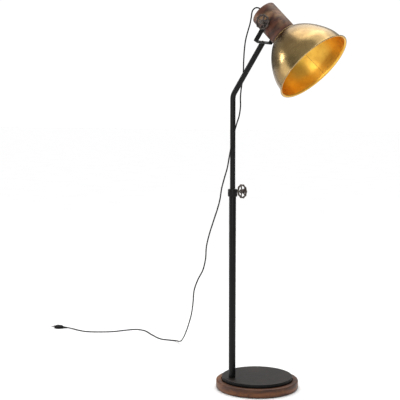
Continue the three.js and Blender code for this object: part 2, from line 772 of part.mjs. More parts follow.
// The cord's route in the lamp's frame: out of the gland, down beside the mast, across the
// floor and into the plug.
const GLAND_X = MAST_X + head.position.x + (GLAND_TIP - GAP) * Math.cos(HEAD_TILT);
const GLAND_Z = head.position.z - (GLAND_TIP - GAP) * Math.sin(HEAD_TILT);
const cordRoute = [
  [GLAND_X, MAST_Y, GLAND_Z], [GLAND_X - 3, MAST_Y, GLAND_Z + 2.9],
  [41.8, -73.5, 1364.4], [33.3, -73, 1366.6], [24.4, -72.5, 1365], [16.9, -72, 1359.6],
  [12.3, -71, 1351.3], [8.5, -70, 1332], [4, -70, 1312], [-3, -71, 1290], [-14, -69, 1257],
  [-20, -67, 1223],
  [-24, -65, 1182], [-27, -61, 1154], [-31, -58, 1126], [-35, -61, 1094], [-37, -64, 1059],
  [-35, -67, 1025], [-37, -73, 992], [-42, -81, 965], [-48, -90, 930], [-55, -95, 890],
  [-64, -96, 844], [-72, -95, 808], [-84, -93, 775], [-101, -85, 735], [-117, -72, 690],
  [-134, -63, 652], [-156, -55, 606], [-180, -45, 555], [-200, -32, 508], [-216, -13, 459],
  [-238, 3, 413], [-269, 15, 370], [-299, 36, 324], [-329, 74, 269], [-370, 125, 210],
  [-420, 181, 153], [-478, 247, 99], [-545, 324, 48], [-606, 392, CORD_Z + 11],
  [-655, 425, CORD_Z + 1.2], [-725, 421, CORD_Z], [-812, 468, CORD_Z], [-883, 513, CORD_Z],
  [-932, 515, CORD_Z], [-963, 477, CORD_Z], [-998, 418, CORD_Z], [-1046, 380, CORD_Z],
  [-1095, 356, CORD_Z], [-1150, 356, CORD_Z + 0.4], [-1186, 361, CORD_Z + 1.5],
  [-1213, 356, CORD_Z + 4],
].map(([x, y, z]) => new THREE.Vector3(x, y, z));
const cordCurve = new THREE.CatmullRomCurve3(cordRoute, false, 'centripetal');
cordCurve.arcLengthDivisions = 2000;

// Where one stretch hands over to the next, as distances along the cord.
const HEAD_STRETCH = 350;
const MAST_STRETCH = 625;
const CORD_LENGTH = cordCurve.getLength();

function cordStretch(name, from, to, steps) {
  const places = Array.from({ length: steps + 1 }, (_, i) => {
    return Math.min((from + ((to - from) * i) / steps) / CORD_LENGTH, 1);
  });
  const stations = places.map((place) => cordCurve.getPointAt(place));
  const directions = places.map((place) => cordCurve.getTangentAt(place));
  return part(name, swept(circleShape(CORD_R), stations, CORD_SIDES / 2, directions), RUBBER);
}

const cord = new THREE.Group();
cord.add(
  cordStretch('head_cord', 0, HEAD_STRETCH - GAP, 24),
  cordStretch('mast_cord', HEAD_STRETCH, MAST_STRETCH - GAP, 11),
  cordStretch('floor_cord', MAST_STRETCH, CORD_LENGTH, 45),
);

const PLUG_HALF_H = 7;
const PLUG_RELIEF = 24;
const PLUG_BODY = 36;
const PIN_R = 2;
const PIN_LENGTH = 19;
const PIN_SPREAD = 9.5;

// The plug's own frame: +X runs from the cord towards the pins.
const plug = new THREE.Group();
const cordEnd = cordRoute.at(-1);
const cordWay = cordCurve.getTangentAt(1);
plug.position.copy(cordEnd);
plug.rotation.z = Math.atan2(cordWay.y, cordWay.x);

function plugBody() {
  const outline = new THREE.Shape();
  outline.moveTo(0, -8);
  outline.bezierCurveTo(12, -9, 12, -17, 20, -17);
  outline.lineTo(PLUG_BODY, -17);
  outline.lineTo(PLUG_BODY, 17);
  outline.lineTo(20, 17);
  outline.bezierCurveTo(12, 17, 12, 9, 0, 8);
  const bevel = 1.5;
  const options = {
    depth: 2 * PLUG_HALF_H - 2 * bevel, bevelThickness: bevel, bevelSize: bevel,
    bevelOffset: -bevel, bevelSegments: 1, curveSegments: 5,
  };
  const body = new THREE.ExtrudeGeometry(outline, options);
  return at(body, PLUG_RELIEF + 2 * GAP, 0, bevel - PLUG_HALF_H);
}

const plugRelief = turned([[0, GAP], [CORD_R + 0.8, GAP], [5, PLUG_RELIEF], [0, PLUG_RELIEF]], 16);
const pinFrom = PLUG_RELIEF + 3 * GAP + PLUG_BODY;
const bodyLift = PLUG_HALF_H + 0.1 - cordEnd.z;
plug.add(
  part('plug_relief', alongX(plugRelief), RUBBER),
  part('plug_body', outward(at(plugBody(), 0, 0, bodyLift)), RUBBER),
);
[-1, 1].forEach((side, i) => {
  const pin = turned([
    [0, pinFrom],
    [PIN_R, pinFrom],
    [PIN_R, pinFrom + PIN_LENGTH - 1.5],
    [PIN_R / 2, pinFrom + PIN_LENGTH],
    [0, pinFrom + PIN_LENGTH],
  ], 12);
  plug.add(part(`plug_pin_${i + 1}`, at(alongX(pin), 0, side * PIN_SPREAD, bodyLift), ZINC));
});
cord.add(plug);

const lamp = new THREE.Group();
lamp.add(base, mast, cord);
export default lamp;
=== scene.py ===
import json
from math import atan2, copysign, cos, hypot, pi, radians, sin, sqrt, tan

import bmesh
import bpy
import numpy as np
from mathutils import Matrix, Vector, noise


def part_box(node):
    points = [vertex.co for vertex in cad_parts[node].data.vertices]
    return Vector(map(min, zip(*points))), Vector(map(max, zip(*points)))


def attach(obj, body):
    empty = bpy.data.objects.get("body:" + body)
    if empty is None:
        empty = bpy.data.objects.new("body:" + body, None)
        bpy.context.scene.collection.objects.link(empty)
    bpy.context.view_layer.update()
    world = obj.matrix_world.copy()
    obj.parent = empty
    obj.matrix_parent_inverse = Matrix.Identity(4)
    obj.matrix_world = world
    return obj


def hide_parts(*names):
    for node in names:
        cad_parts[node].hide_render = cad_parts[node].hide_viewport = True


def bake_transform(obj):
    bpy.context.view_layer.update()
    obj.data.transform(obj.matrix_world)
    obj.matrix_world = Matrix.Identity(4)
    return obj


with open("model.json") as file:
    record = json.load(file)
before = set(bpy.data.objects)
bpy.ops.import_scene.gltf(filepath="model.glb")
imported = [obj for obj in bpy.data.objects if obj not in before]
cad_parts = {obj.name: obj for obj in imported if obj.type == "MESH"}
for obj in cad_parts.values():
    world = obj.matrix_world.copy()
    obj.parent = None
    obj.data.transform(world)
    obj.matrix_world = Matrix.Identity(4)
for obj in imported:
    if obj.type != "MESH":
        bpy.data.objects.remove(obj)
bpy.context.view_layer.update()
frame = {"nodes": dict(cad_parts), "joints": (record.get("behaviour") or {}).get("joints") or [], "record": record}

# Pharmacy floor lamp: the looks. Blender works in metres; the outlines of turned pieces are
# written in millimetres and scaled by MM when they become a mesh.

MM = 0.001
TAU = 2 * pi

# ---- driving dimensions, mm

GAP = 0.3  # between neighbouring pieces
ARM_LEAN = radians(33.6)  # of the slanted tube, from the vertical
HEAD_TILT = radians(44.4)  # of the cup's axis, below the horizontal
COLLAR_SCREW_ANGLE = radians(70)  # seen from above, from +X
BEND_Z = 1065
BEND_RADIUS = 45
YOKE_AT = 216  # along the slanted tube, from the bend
PIVOT_AT = 293  # likewise
YOKE_INNER = 50.5  # from the head's middle plane to the yoke's inner face
BAR = 4  # the yoke's flat bar
BAR_WIDTH = 16

POLE_R = 12.5
POLE_BORE_R = 11
TUBE_R = 9.5
TUBE_BORE_R = 8
COLLAR_R = 17
COLLAR_SEAT = 713  # of the collar on the pole's end
COLLAR_SCREW_Z = 721.5
COLLAR_WHEEL_AT = 44  # along its screw, from the mast's axis
TILT_WHEEL_AT = 78  # along its screw, from the head's middle plane
SCREW_R = 3.9
THREAD_R = SCREW_R - 0.2
NUT_BORE_R = SCREW_R + 0.1
SCREW_PITCH = 1.25
NUT_ACROSS = 13
NUT_HEIGHT = 5.4
WHEEL_R = 26.5
WHEEL_INNER_R = 20
HUB_HALF = 6.5

CUP_R = 46.5
CUP_BACK = -57  # these places are along the cup's axis, from the tilt axis
CUP_FRONT = 62
CUP_CAVITY_AT = 18
CORD_BORE_R = 6.2
DOME_R = 135.2
DOME_AT = 213
SHADE_R = 142.5
NECK_R = 49.5
SHEET = 1.2
LIP_R = 1.2
DARK_RIDGE_ANGLE = radians(77)  # round the cup's axis
HOLDER_R = 19.5
HOLDER_BACK = 36.3
HOLDER_FRONT = 74
GLAND_ROOT = CUP_BACK + 11
GLAND_TIP = CUP_BACK - 12

CORD_R = 2.5
CORD_Z = CORD_R + 0.1
CORD_STEP = 4
HEAD_STRETCH = 350  # where one stretch of cord hands over to the next
MAST_STRETCH = 625
PLUG_RELIEF = 24
PLUG_BODY = 36
PLUG_MIDDLE_Z = 7.1
PIN_R = 2
PIN_OUT = 19
PIN_APART = 19

# ---- places, from the frame


def middle(node):
    """The centre of a CAD node's box, in metres."""
    low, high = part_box(node)
    return (low + high) / 2


joints = {joint["name"]: joint for joint in frame["joints"]}
MAST = Vector((middle("lower_pole").x, middle("lower_pole").y, 0))
PIVOT = Vector(joints["head_tilt"]["pos_m"])
PLATE_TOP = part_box("iron_plate")[1].z  # in metres, for the cast iron
CUP_AXIS = Vector((cos(HEAD_TILT), 0, -sin(HEAD_TILT)))


def along(start, direction):
    """A frame at start whose own +Z runs in the given direction."""
    turn = Vector(direction).to_track_quat("Z", "Y").to_matrix().to_4x4()
    return Matrix.Translation(start) @ turn


UPRIGHT = Matrix.Translation(MAST)
CUP = Matrix.Translation(PIVOT) @ Matrix.Rotation(pi / 2 + HEAD_TILT, 4, "Y")
ARM = Matrix.Translation(MAST + Vector((0, 0, BEND_Z * MM))) @ Matrix.Rotation(ARM_LEAN, 4, "Y")
NEAR = along(PIVOT, (0, -1, 0))
FAR = along(PIVOT, (0, 1, 0))
COLLAR_WAY = Vector((cos(COLLAR_SCREW_ANGLE), sin(COLLAR_SCREW_ANGLE), 0))
COLLAR_SCREW = along(MAST + Vector((0, 0, COLLAR_SCREW_Z * MM)), COLLAR_WAY)



def shown(name, data):
    """A new object in the scene."""
    made = bpy.data.objects.new(name, data)
    bpy.context.scene.collection.objects.link(made)
    return made


# ---- camera

camera_data = bpy.data.cameras.new("camera")
camera_data.lens = 88.3
camera_data.sensor_width = 36
camera_data.clip_end = 100
camera = shown("camera", camera_data)
camera.location = (1.7403, -3.0739, 1.0145)
camera.rotation_euler = (radians(84.74), 0, radians(32.91))
bpy.context.scene.camera = camera

# ---- materials


def colour(code):
    """A linear RGBA colour from the hexadecimal code of an sRGB one."""
    channels = [int(code[i:i + 2], 16) / 255 for i in (1, 3, 5)]
    linear = [c / 12.92 if c <= 0.04045 else ((c + 0.055) / 1.055) ** 2.4 for c in channels]
    return (*linear, 1)


class Finish:
    """One node material, with a short call for each kind of node that it is made of."""

    def __init__(self, name, **sockets):
        self.material = bpy.data.materials.new(name)
        self.material.use_nodes = True
        self.nodes = self.material.node_tree.nodes
        self.links = self.material.node_tree.links
        self.shader = self.nodes["Principled BSDF"]
        self.place = self.nodes.new("ShaderNodeTexCoord").outputs["Object"]
        for socket, value in sockets.items():
            self.shader.inputs[socket.replace("_", " ")].default_value = value

    def put(self, node, socket, value):
        if isinstance(value, bpy.types.NodeSocket):
            self.links.new(value, node.inputs[socket])
        else:
            node.inputs[socket].default_value = value

    def add(self, kind, **sockets):
        node = self.nodes.new("ShaderNode" + kind)
        for socket, value in sockets.items():
            self.put(node, socket.replace("_", " "), value)
        return node

    def stretched(self, scale, turn=(0, 0, 0)):
        """The place on the object, turned first and then scaled along each axis."""
        turned_place = self.add("Mapping", Vector=self.place, Rotation=turn).outputs[0]
        return self.add("Mapping", Vector=turned_place, Scale=scale).outputs[0]

    def noise(self, scale, detail=4, roughness=0.55, distortion=0, vector=None):
        return self.add(
            "TexNoise", Vector=vector or self.place, Scale=scale, Detail=detail,
            Roughness=roughness, Distortion=distortion,
        ).outputs["Fac"]

    def waves(self, scale, distortion, vector=None, direction="X", detail=2, detail_scale=1):
        node = self.add(
            "TexWave", Vector=vector or self.place, Scale=scale, Distortion=distortion,
            Detail=detail, Detail_Scale=detail_scale,
        )
        node.bands_direction = direction
        return node.outputs["Fac"]

    def edges(self, low, high):
        """1 on the outward edges of a dense mesh, 0 on its flats."""
        pointiness = self.add("NewGeometry").outputs["Pointiness"]
        return self.between(pointiness, 0, 1, low, high)

    def ramp(self, value, *stops):
        """Runs through the colours of two or more stops, each a place and a colour code."""
        node = self.add("ValToRGB")
        elements = node.color_ramp.elements
        for i, (position, code) in enumerate(stops):
            element = elements[i] if i < 2 else elements.new(position)
            element.position = position
            element.color = colour(code)
        self.put(node, "Fac", value)
        return node.outputs["Color"]

    def mix(self, share, a, b):
        """Colour a where share is 0, colour b where it is 1."""
        node = self.add("Mix")
        node.data_type = "RGBA"
        self.put(node, 0, share)
        self.put(node, 6, a)
        self.put(node, 7, b)
        return node.outputs[2]

    def between(self, value, low, high, start=0, end=1):
        """Maps value from the range start to end onto the range low to high."""
        return self.add(
            "MapRange", Value=value, From_Min=start, From_Max=end, To_Min=low, To_Max=high,
        ).outputs[0]

    def times(self, a, b):
        node = self.add("Math")
        node.operation = "MULTIPLY"
        self.put(node, 0, a)
        self.put(node, 1, b)
        return node.outputs[0]

    def bump(self, height, strength, distance, under=None):
        """A relief of the given distance in metres, on top of another one if under is given."""
        node = self.add("Bump", Height=height, Strength=strength, Distance=distance)
        if under:
            self.put(node, "Normal", under)
        return node.outputs[0]

    def done(self, base, roughness, normal=None):
        for socket, value in (("Base Color", base), ("Roughness", roughness), ("Normal", normal)):
            if value is not None:
                self.put(self.shader, socket, value)
        return self.material


def mango_wood(name, body_tones, patch, patch_share):
    """Stained mango wood, with its grain along the local X."""
    f = Finish(name, Coat_Weight=0.1, Coat_Roughness=0.4, Specular_IOR_Level=0.3)
    sideways = (0, -pi / 2, 0)
    grain = f.stretched((1, 1, 0.14), sideways)
    fibre = f.stretched((1, 1, 0.045), sideways)
    bands = f.waves(9, 7, grain, detail=4, detail_scale=1.6)
    figure = f.noise(26, 5, 0.6, 1.2, grain)
    streaks = f.noise(190, 4, 0.7, 0.3, fibre)
    pores = f.noise(1500, 2, 0.5, 0, fibre)
    patches = f.noise(13, 2, 0.5, 0.6, f.stretched((1, 1, 0.5), sideways))
    dark, middle_tone, light = body_tones
    body = f.ramp(bands, (0, dark), (0.5, middle_tone), (1, light))
    clouds = f.ramp(figure, (0.3, dark), (0.8, light))
    warm = f.mix(f.between(figure, 0, 0.6, 0.4, 0.75), body, clouds)
    pale = f.mix(f.between(patches, 0, patch_share, 0.52, 0.68), warm, colour(patch))
    lined = f.mix(f.between(streaks, 0.8, 0, 0.3, 0.5), pale, colour("#1f0f08"))
    finished = f.mix(f.between(pores, 0.6, 0, 0.28, 0.42), lined, colour("#150a06"))
    relief = f.bump(pores, 0.25, 0.0004, f.bump(streaks, 0.2, 0.0006))
    return f.done(finished, f.between(figure, 0.42, 0.6), relief)


def cast_iron():
    """Dark waxed iron: worn on its edges, and painted nearly black below the plate's top as painted shade on its
    sides.
    """
    f = Finish("cast_iron", Metallic=0.25, Specular_IOR_Level=0.25)
    cloud = f.noise(16, 5, 0.6, 0.6)
    grit = f.noise(420, 3, 0.6)
    sand = f.noise(1600, 2, 0.6)
    body = f.ramp(cloud, (0.3, "#161311"), (0.55, "#231e1b"), (0.75, "#302925"))
    rubbed = f.mix(f.times(f.edges(0.503, 0.53), 0.45), body, colour("#4a423c"))
    # Painted shade: below the plate's top, the sides and edge are painted nearly black (#0b0a0a).
    split = f.add("SeparateXYZ", Vector=f.place)
    fade_low, fade_high = PLATE_TOP - 0.0016, PLATE_TOP - 0.0006
    unshaded_top = f.between(split.outputs["Z"], 0, 1, fade_low, fade_high)
    toned = f.mix(unshaded_top, colour("#0b0a0a"), rubbed)
    shine = f.between(cloud, 0.36, 0.56, 0.3, 0.75)
    return f.done(toned, shine, f.bump(sand, 0.25, 0.0002, f.bump(grit, 0.3, 0.0005)))


def black_steel():
    """Satin black powder coat with a faint orange peel."""
    f = Finish("black_steel", Specular_IOR_Level=0.2)
    cloud = f.noise(24, 4, 0.6)
    peel = f.noise(900, 3, 0.5)
    body = f.ramp(cloud, (0.3, "#050505"), (0.75, "#0b0b0b"))
    return f.done(body, f.between(cloud, 0.34, 0.5), f.bump(peel, 0.12, 0.0002))


def pewter():
    """The handwheels' cast metal, rubbed bright on its edges."""
    f = Finish("pewter", Metallic=0.8)
    cloud = f.noise(90, 5, 0.65, 0.4)
    sand = f.noise(1500, 3, 0.6)
    body = f.ramp(cloud, (0.3, "#2e2824"), (0.55, "#514843"), (0.8, "#7a7070"))
    rubbed = f.mix(f.times(f.edges(0.51, 0.58), 0.6), body, colour("#9c9188"))
    return f.done(rubbed, f.between(cloud, 0.36, 0.6), f.bump(sand, 0.35, 0.0002))


def zinc():
    """Plated steel hardware, dulled, with fine machining lines."""
    f = Finish("zinc", Metallic=1)
    cloud = f.noise(140, 4, 0.6)
    lines = f.noise(700, 3, 0.6, 0, f.stretched((1, 1, 6)))
    body = f.ramp(cloud, (0.3, "#4c4844"), (0.7, "#77726d"))
    return f.done(body, f.between(lines, 0.26, 0.46, 0.3, 0.7), f.bump(lines, 0.12, 0.0001))


def antique_brass():
    """The shade's outside: olive-gold brass with a clouded brown patina."""
    f = Finish("antique_brass", Metallic=1, Coat_Weight=0.22, Coat_Roughness=0.3)
    cloud = f.noise(9, 4, 0.55, 0.7)
    spots = f.noise(60, 5, 0.65, 0.3)
    spinning = f.waves(330, 1.2, None, "Z", 1, 0.4)
    body = f.ramp(cloud, (0.3, "#745b34"), (0.5, "#90774a"), (0.72, "#a48b5a"))
    aged = f.mix(f.between(spots, 0.3, 0, 0.3, 0.5), body, colour("#5d482b"))
    shine = f.between(cloud, 0.27, 0.22, 0.3, 0.7)
    return f.done(aged, shine, f.bump(spinning, 0.05, 0.0001, f.bump(cloud, 0.06, 0.003)))


def golden_inside():
    """The shade's inside: bright golden brass under a clear lacquer."""
    f = Finish("golden_inside", Metallic=0.92)
    cloud = f.noise(14, 4, 0.6, 0.5)
    spots = f.noise(75, 4, 0.6)
    spinning = f.waves(280, 1.5, None, "Z", 1, 0.4)
    body = f.ramp(cloud, (0.3, "#dba640"), (0.55, "#e6b54a"), (0.8, "#efc35a"))
    toned = f.mix(f.between(spots, 0.35, 0, 0.3, 0.52), body, colour("#c98a30"))
    return f.done(toned, f.between(cloud, 0.36, 0.3), f.bump(spinning, 0.06, 0.0001))


def plain_brass():
    """Machined brass, unlacquered."""
    f = Finish("brass_insert", Metallic=1)
    cloud = f.noise(180, 4, 0.6)
    turning = f.waves(900, 0.6, None, "Z", 1)
    body = f.ramp(cloud, (0.3, "#a9803f"), (0.7, "#d0a75f"))
    return f.done(body, f.between(cloud, 0.24, 0.42), f.bump(turning, 0.1, 0.0001))


def moulded(name, dark, light, low, high, grain=600, depth=0.0002, **sockets):
    """A moulded or pressed plastic: mottled, with a fine surface grain."""
    f = Finish(name, **sockets)
    cloud = f.noise(45, 4, 0.6, 0.4)
    fine = f.noise(grain, 3, 0.55)
    body = f.ramp(cloud, (0.3, dark), (0.75, light))
    return f.done(body, f.between(fine, low, high), f.bump(fine, 0.18, depth))


def felt():
    """Pressed black wool, matted at two scales."""
    f = Finish("felt", Sheen_Weight=0.4, Sheen_Roughness=0.5)
    hair = f.noise(2600, 4, 0.75, 1.5)
    cloud = f.noise(60, 4, 0.6)
    fine = f.ramp(hair, (0.3, "#0d0c0c"), (0.7, "#34302d"))
    body = f.mix(0.5, fine, f.ramp(cloud, (0.3, "#151413"), (0.7, "#2a2725")))
    return f.done(body, f.between(hair, 0.85, 1), f.bump(hair, 0.7, 0.0006))


CUP_TONES, CUP_PATCH = ("#33190f", "#4b2819", "#5e3624"), "#a5805c"
BASE_TONES, BASE_PATCH = ("#3a2013", "#5a3219", "#754726"), "#8a5a34"
CUP_WOOD = mango_wood("mango_wood_cup", CUP_TONES, CUP_PATCH, 0.75)
BASE_WOOD = mango_wood("mango_wood_base", BASE_TONES, BASE_PATCH, 0.5)
GOLD = golden_inside()
SLOTS = {
    "felt": felt(),
    "mango_wood": BASE_WOOD,
    "cast_iron": cast_iron(),
    "black_steel": black_steel(),
    "pewter": pewter(),
    "zinc": zinc(),
    "antique_brass": antique_brass(),
    "brass_insert": plain_brass(),
    "nylon": moulded("nylon", "#c2beb2", "#dedbd0", 0.45, 0.65, Subsurface_Weight=0.1),
    "fibre": moulded("fibre", "#1c1613", "#3a2f28", 0.65, 0.9, 1300, 0.0003),
    "phenolic": moulded("phenolic", "#0a0a0a", "#191817", 0.2, 0.36, 300, 0.00008),
    "rubber": moulded(
        "rubber", "#040404", "#0b0b0b", 0.5, 0.7, 900, 0.00015, Specular_IOR_Level=0.22,
    ),
}

# ---- mesh helpers


CREASE = 32  # degrees between faces, from which an edge is shaded sharp
ROUND_CREASE = 40  # likewise, for pipes and lofted skins
WELD = 2e-7  # metres; vertices closer than this become one


def to_object(name, bm, place=None, sharp=CREASE):
    """A smooth-shaded object from a bmesh, with creases where faces meet at a wide angle."""
    bmesh.ops.remove_doubles(bm, verts=bm.verts, dist=WELD)
    bmesh.ops.recalc_face_normals(bm, faces=bm.faces)
    mesh = bpy.data.meshes.new(name)
    bm.to_mesh(mesh)
    bm.free()
    mesh.shade_smooth()
    mesh.set_sharp_from_angle(angle=radians(sharp))
    piece = shown(name, mesh)
    if place:
        piece.matrix_world = place
    return piece


def circle(count):
    """Evenly spaced angles, once round."""
    return [TAU * i / count for i in range(count)]


def arc(x, y, radius, start, end, count):
    """Points on an arc round (x, y), with angles from +X towards +Y."""
    angles = np.linspace(start, end, count)
    return [(x + radius * cos(a), y + radius * sin(a)) for a in angles]


def softened(outline, radius=0.5, steps=3, closed=False):
    """The outline with its corners rounded off, as far as its legs are long enough."""
    points = [Vector(p) for p in outline]
    last = len(points) - 1
    made = []
    for i, here in enumerate(points):
        if not closed and i in (0, last):
            made.append(here)
            continue
        before = points[i - 1] - here
        after = points[(i + 1) % len(points)] - here
        straight_on = before.normalized().dot(after.normalized()) < -0.995
        if straight_on:
            made.append(here)
            continue
        cut = min(radius, 0.45 * before.length, 0.45 * after.length)
        a = here + before.normalized() * cut
        b = here + after.normalized() * cut
        for k in range(steps + 1):
            t = k / steps
            made.append(a * (1 - t) ** 2 + here * 2 * t * (1 - t) + b * t * t)
    return [tuple(p) for p in made]


def turned(name, section, place, segments=96, second=(), sharp=CREASE):
    """Turns a section of (radius, height) points in mm about the Z axis of place.

    The section may be a function of the angle. One that doesn't start and end on the axis
    closes on itself. The legs of the section listed in second take the second material.
    """
    bm = bmesh.new()
    rings = []
    for angle in circle(segments):
        points = section(angle) if callable(section) else section
        c, s = cos(angle) * MM, sin(angle) * MM
        rings.append([bm.verts.new((r * c, r * s, z * MM)) for r, z in points])
    solid = points[0][0] == 0 and points[-1][0] == 0
    legs = len(points) - 1 if solid else len(points)
    for i, ring in enumerate(rings):
        other = rings[(i + 1) % segments]
        for j in range(legs):
            k = (j + 1) % len(ring)
            face = bm.faces.new((ring[j], other[j], other[k], ring[k]))
            face.material_index = int(j in second)
    return to_object(name, bm, place, sharp)


def soft_turned(name, outline, place, radius=0.5, segments=96):
    """A turned piece with the corners of its outline rounded off."""
    solid = outline[0][0] == 0 and outline[-1][0] == 0
    return turned(name, softened(outline, radius, closed=not solid), place, segments)


def applied(piece):
    """The piece itself, after its modifiers are applied to its mesh."""
    bpy.context.view_layer.update()
    shown = piece.evaluated_get(bpy.context.evaluated_depsgraph_get())
    mesh = bpy.data.meshes.new_from_object(shown)
    piece.modifiers.clear()
    piece.data = mesh
    return piece


def bored(piece, place, radius, start, end):
    """Cuts a round hole along the given frame's Z, sizes in mm."""
    core = [(0, start), (radius, start), (radius, end), (0, end)]
    drill = turned("drill", core, place, 64)
    cut = piece.modifiers.new("hole", "BOOLEAN")
    cut.operation = "DIFFERENCE"
    cut.solver = "EXACT"
    cut.object = drill
    applied(piece)
    piece.data.set_sharp_from_angle(angle=radians(CREASE))
    bpy.data.objects.remove(drill)
    return piece


def frames_along(line):
    """A pair of directions square to the line at each of its points, without twist."""
    line = [Vector(p) for p in line]
    ahead = line[1:] + line[-1:]
    behind = line[:1] + line[:-1]
    ways = [(b - a).normalized() for a, b in zip(behind, ahead)]
    side = ways[0].orthogonal().normalized()
    pairs = []
    for way in ways:
        side = (side - way * side.dot(way)).normalized()
        pairs.append((side, way.cross(side)))
    return pairs


def pipe(name, line, radius, bore=0, sides=20):
    """A tube along a line of points in metres; radius and bore in metres."""
    bm = bmesh.new()
    circles = [radius] + ([bore] if bore else [])
    rows = []
    for centre, (u, v) in zip(line, frames_along(line)):
        outward = [u * cos(t) + v * sin(t) for t in circle(sides)]
        rows.append([[bm.verts.new(Vector(centre) + way * r) for way in outward] for r in circles])
    for one, two in zip(rows, rows[1:]):
        for inner in range(len(circles)):
            for k in range(sides):
                n = (k + 1) % sides
                bm.faces.new((one[inner][k], one[inner][n], two[inner][n], two[inner][k]))
    for end in (rows[0], rows[-1]):
        if bore:
            for k in range(sides):
                n = (k + 1) % sides
                bm.faces.new((end[0][k], end[0][n], end[1][n], end[1][k]))
        else:
            bm.faces.new(end[0])
    return to_object(name, bm, None, ROUND_CREASE)


def lofted(name, sections, place):
    """A closed skin over a row of loops, each a list of points in mm."""
    bm = bmesh.new()
    rows = [[bm.verts.new(Vector(p) * MM) for p in section] for section in sections]
    for one, two in zip(rows, rows[1:]):
        for k in range(len(one)):
            n = (k + 1) % len(one)
            bm.faces.new((one[k], one[n], two[n], two[k]))
    bm.faces.new(rows[0])
    bm.faces.new(rows[-1])
    return to_object(name, bm, place, ROUND_CREASE)


def cast(name, parts, voxel, place):
    """Melts closed pieces into one casting, with small fillets where they meet.

    The pieces are modelled round the origin and voxel is in mm.
    """
    bm = bmesh.new()
    for part in parts:
        bm.from_mesh(part.data)
        bpy.data.objects.remove(part)
    piece = to_object(name, bm)
    remesh = piece.modifiers.new("melt", "REMESH")
    remesh.mode = "VOXEL"
    remesh.voxel_size = voxel * MM
    smooth = piece.modifiers.new("smooth", "SMOOTH")
    smooth.factor = 0.6
    smooth.iterations = 3
    applied(piece)
    piece.data.shade_smooth()
    piece.matrix_world = place
    return piece


def stands_for(piece, body, nodes, slot, material=None):
    """Gives a new piece its finish, its body and the CAD nodes that it replaces."""
    nodes = [nodes] if isinstance(nodes, str) else nodes
    if not piece.data.materials:
        piece.data.materials.append(material or SLOTS[slot])
    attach(piece, body)
    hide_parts(*nodes)
    return piece


# ---- cord and plug

gland_end = PIVOT + CUP_AXIS * (GLAND_TIP - GAP) * MM
leaves = gland_end / MM
ROUTE = [  # fitted to the photograph, from the gland over the floor to the plug
    tuple(leaves), (leaves.x - 3, leaves.y, leaves.z + 2.9),
    (41.8, -73.5, 1364.4), (33.3, -73, 1366.6), (24.4, -72.5, 1365), (16.9, -72, 1359.6),
    (12.3, -71, 1351.3), (8.5, -70, 1332), (4, -70, 1312), (-3, -71, 1290), (-14, -69, 1257),
    (-20, -67, 1223), (-24, -65, 1182), (-27, -61, 1154), (-31, -58, 1126), (-35, -61, 1094),
    (-37, -64, 1059), (-35, -67, 1025), (-37, -73, 992), (-42, -81, 965), (-48, -90, 930),
    (-55, -95, 890), (-64, -96, 844), (-72, -95, 808), (-84, -93, 775), (-101, -85, 735),
    (-117, -72, 690), (-134, -63, 652), (-156, -55, 606), (-180, -45, 555), (-200, -32, 508),
    (-216, -13, 459), (-238, 3, 413), (-269, 15, 370), (-299, 36, 324), (-329, 74, 269),
    (-370, 125, 210), (-420, 181, 153), (-478, 247, 99), (-545, 324, 48), (-606, 392, CORD_Z + 11),
    (-655, 425, CORD_Z + 1.2), (-725, 421, CORD_Z), (-812, 468, CORD_Z), (-883, 513, CORD_Z),
    (-932, 515, CORD_Z), (-963, 477, CORD_Z), (-998, 418, CORD_Z), (-1046, 380, CORD_Z),
    (-1095, 356, CORD_Z), (-1150, 356, CORD_Z + 0.4), (-1186, 361, CORD_Z + 1.5),
    (-1213, 356, CORD_Z + 4),
]


def smooth_line(points, steps=60):
    """A centripetal Catmull-Rom curve through points in mm, as places in metres."""
    p = np.array(points, float) * MM
    p = np.vstack([2 * p[0] - p[1], p, 2 * p[-1] - p[-2]])
    line = []
    for a, b, c, d in zip(p, p[1:], p[2:], p[3:]):
        ab, bc, cd = (sqrt(np.linalg.norm(y - x)) for x, y in ((a, b), (b, c), (c, d)))
        leave = ((b - a) / ab - (c - a) / (ab + bc) + (c - b) / bc) * bc
        arrive = ((c - b) / bc - (d - b) / (bc + cd) + (d - c) / cd) * bc
        for t in np.arange(steps) / steps:
            line.append(
                (2 * t**3 - 3 * t**2 + 1) * b + (t**3 - 2 * t**2 + t) * leave
                + (3 * t**2 - 2 * t**3) * c + (t**3 - t**2) * arrive
            )
    return np.array(line + [p[-2]])


cord_line = smooth_line(ROUTE)
cord_steps = np.linalg.norm(np.diff(cord_line, axis=0), axis=1)
cord_along = np.concatenate([[0], np.cumsum(cord_steps)])
CORD_LENGTH = cord_along[-1]


def cord_stretch(name, node, begin, end):
    """One stretch of the cord, from one distance along it to another, in metres.
    """
    count = round((end - begin) / (CORD_STEP * MM))
    places = np.linspace(begin, end, count + 1)
    path = np.array([np.interp(places, cord_along, cord_line[:, k]) for k in range(3)]).T
    piece = pipe(name, path, CORD_R * MM, sides=16)
    piece.data.materials.append(SLOTS["rubber"])
    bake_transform(piece)
    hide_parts(node)
    return path


cord_end = Vector(cord_line[-1])
cord_way = Vector(cord_line[-1] - cord_line[-2])
PLUG = Matrix.Translation(cord_end) @ Matrix.Rotation(atan2(cord_way.y, cord_way.x), 4, "Z")
PLUG_LIFT = PLUG_MIDDLE_Z - cord_end.z / MM  # of the plug's middle above the cord's end
plug_axis = PLUG @ Matrix.Rotation(pi / 2, 4, "Y")


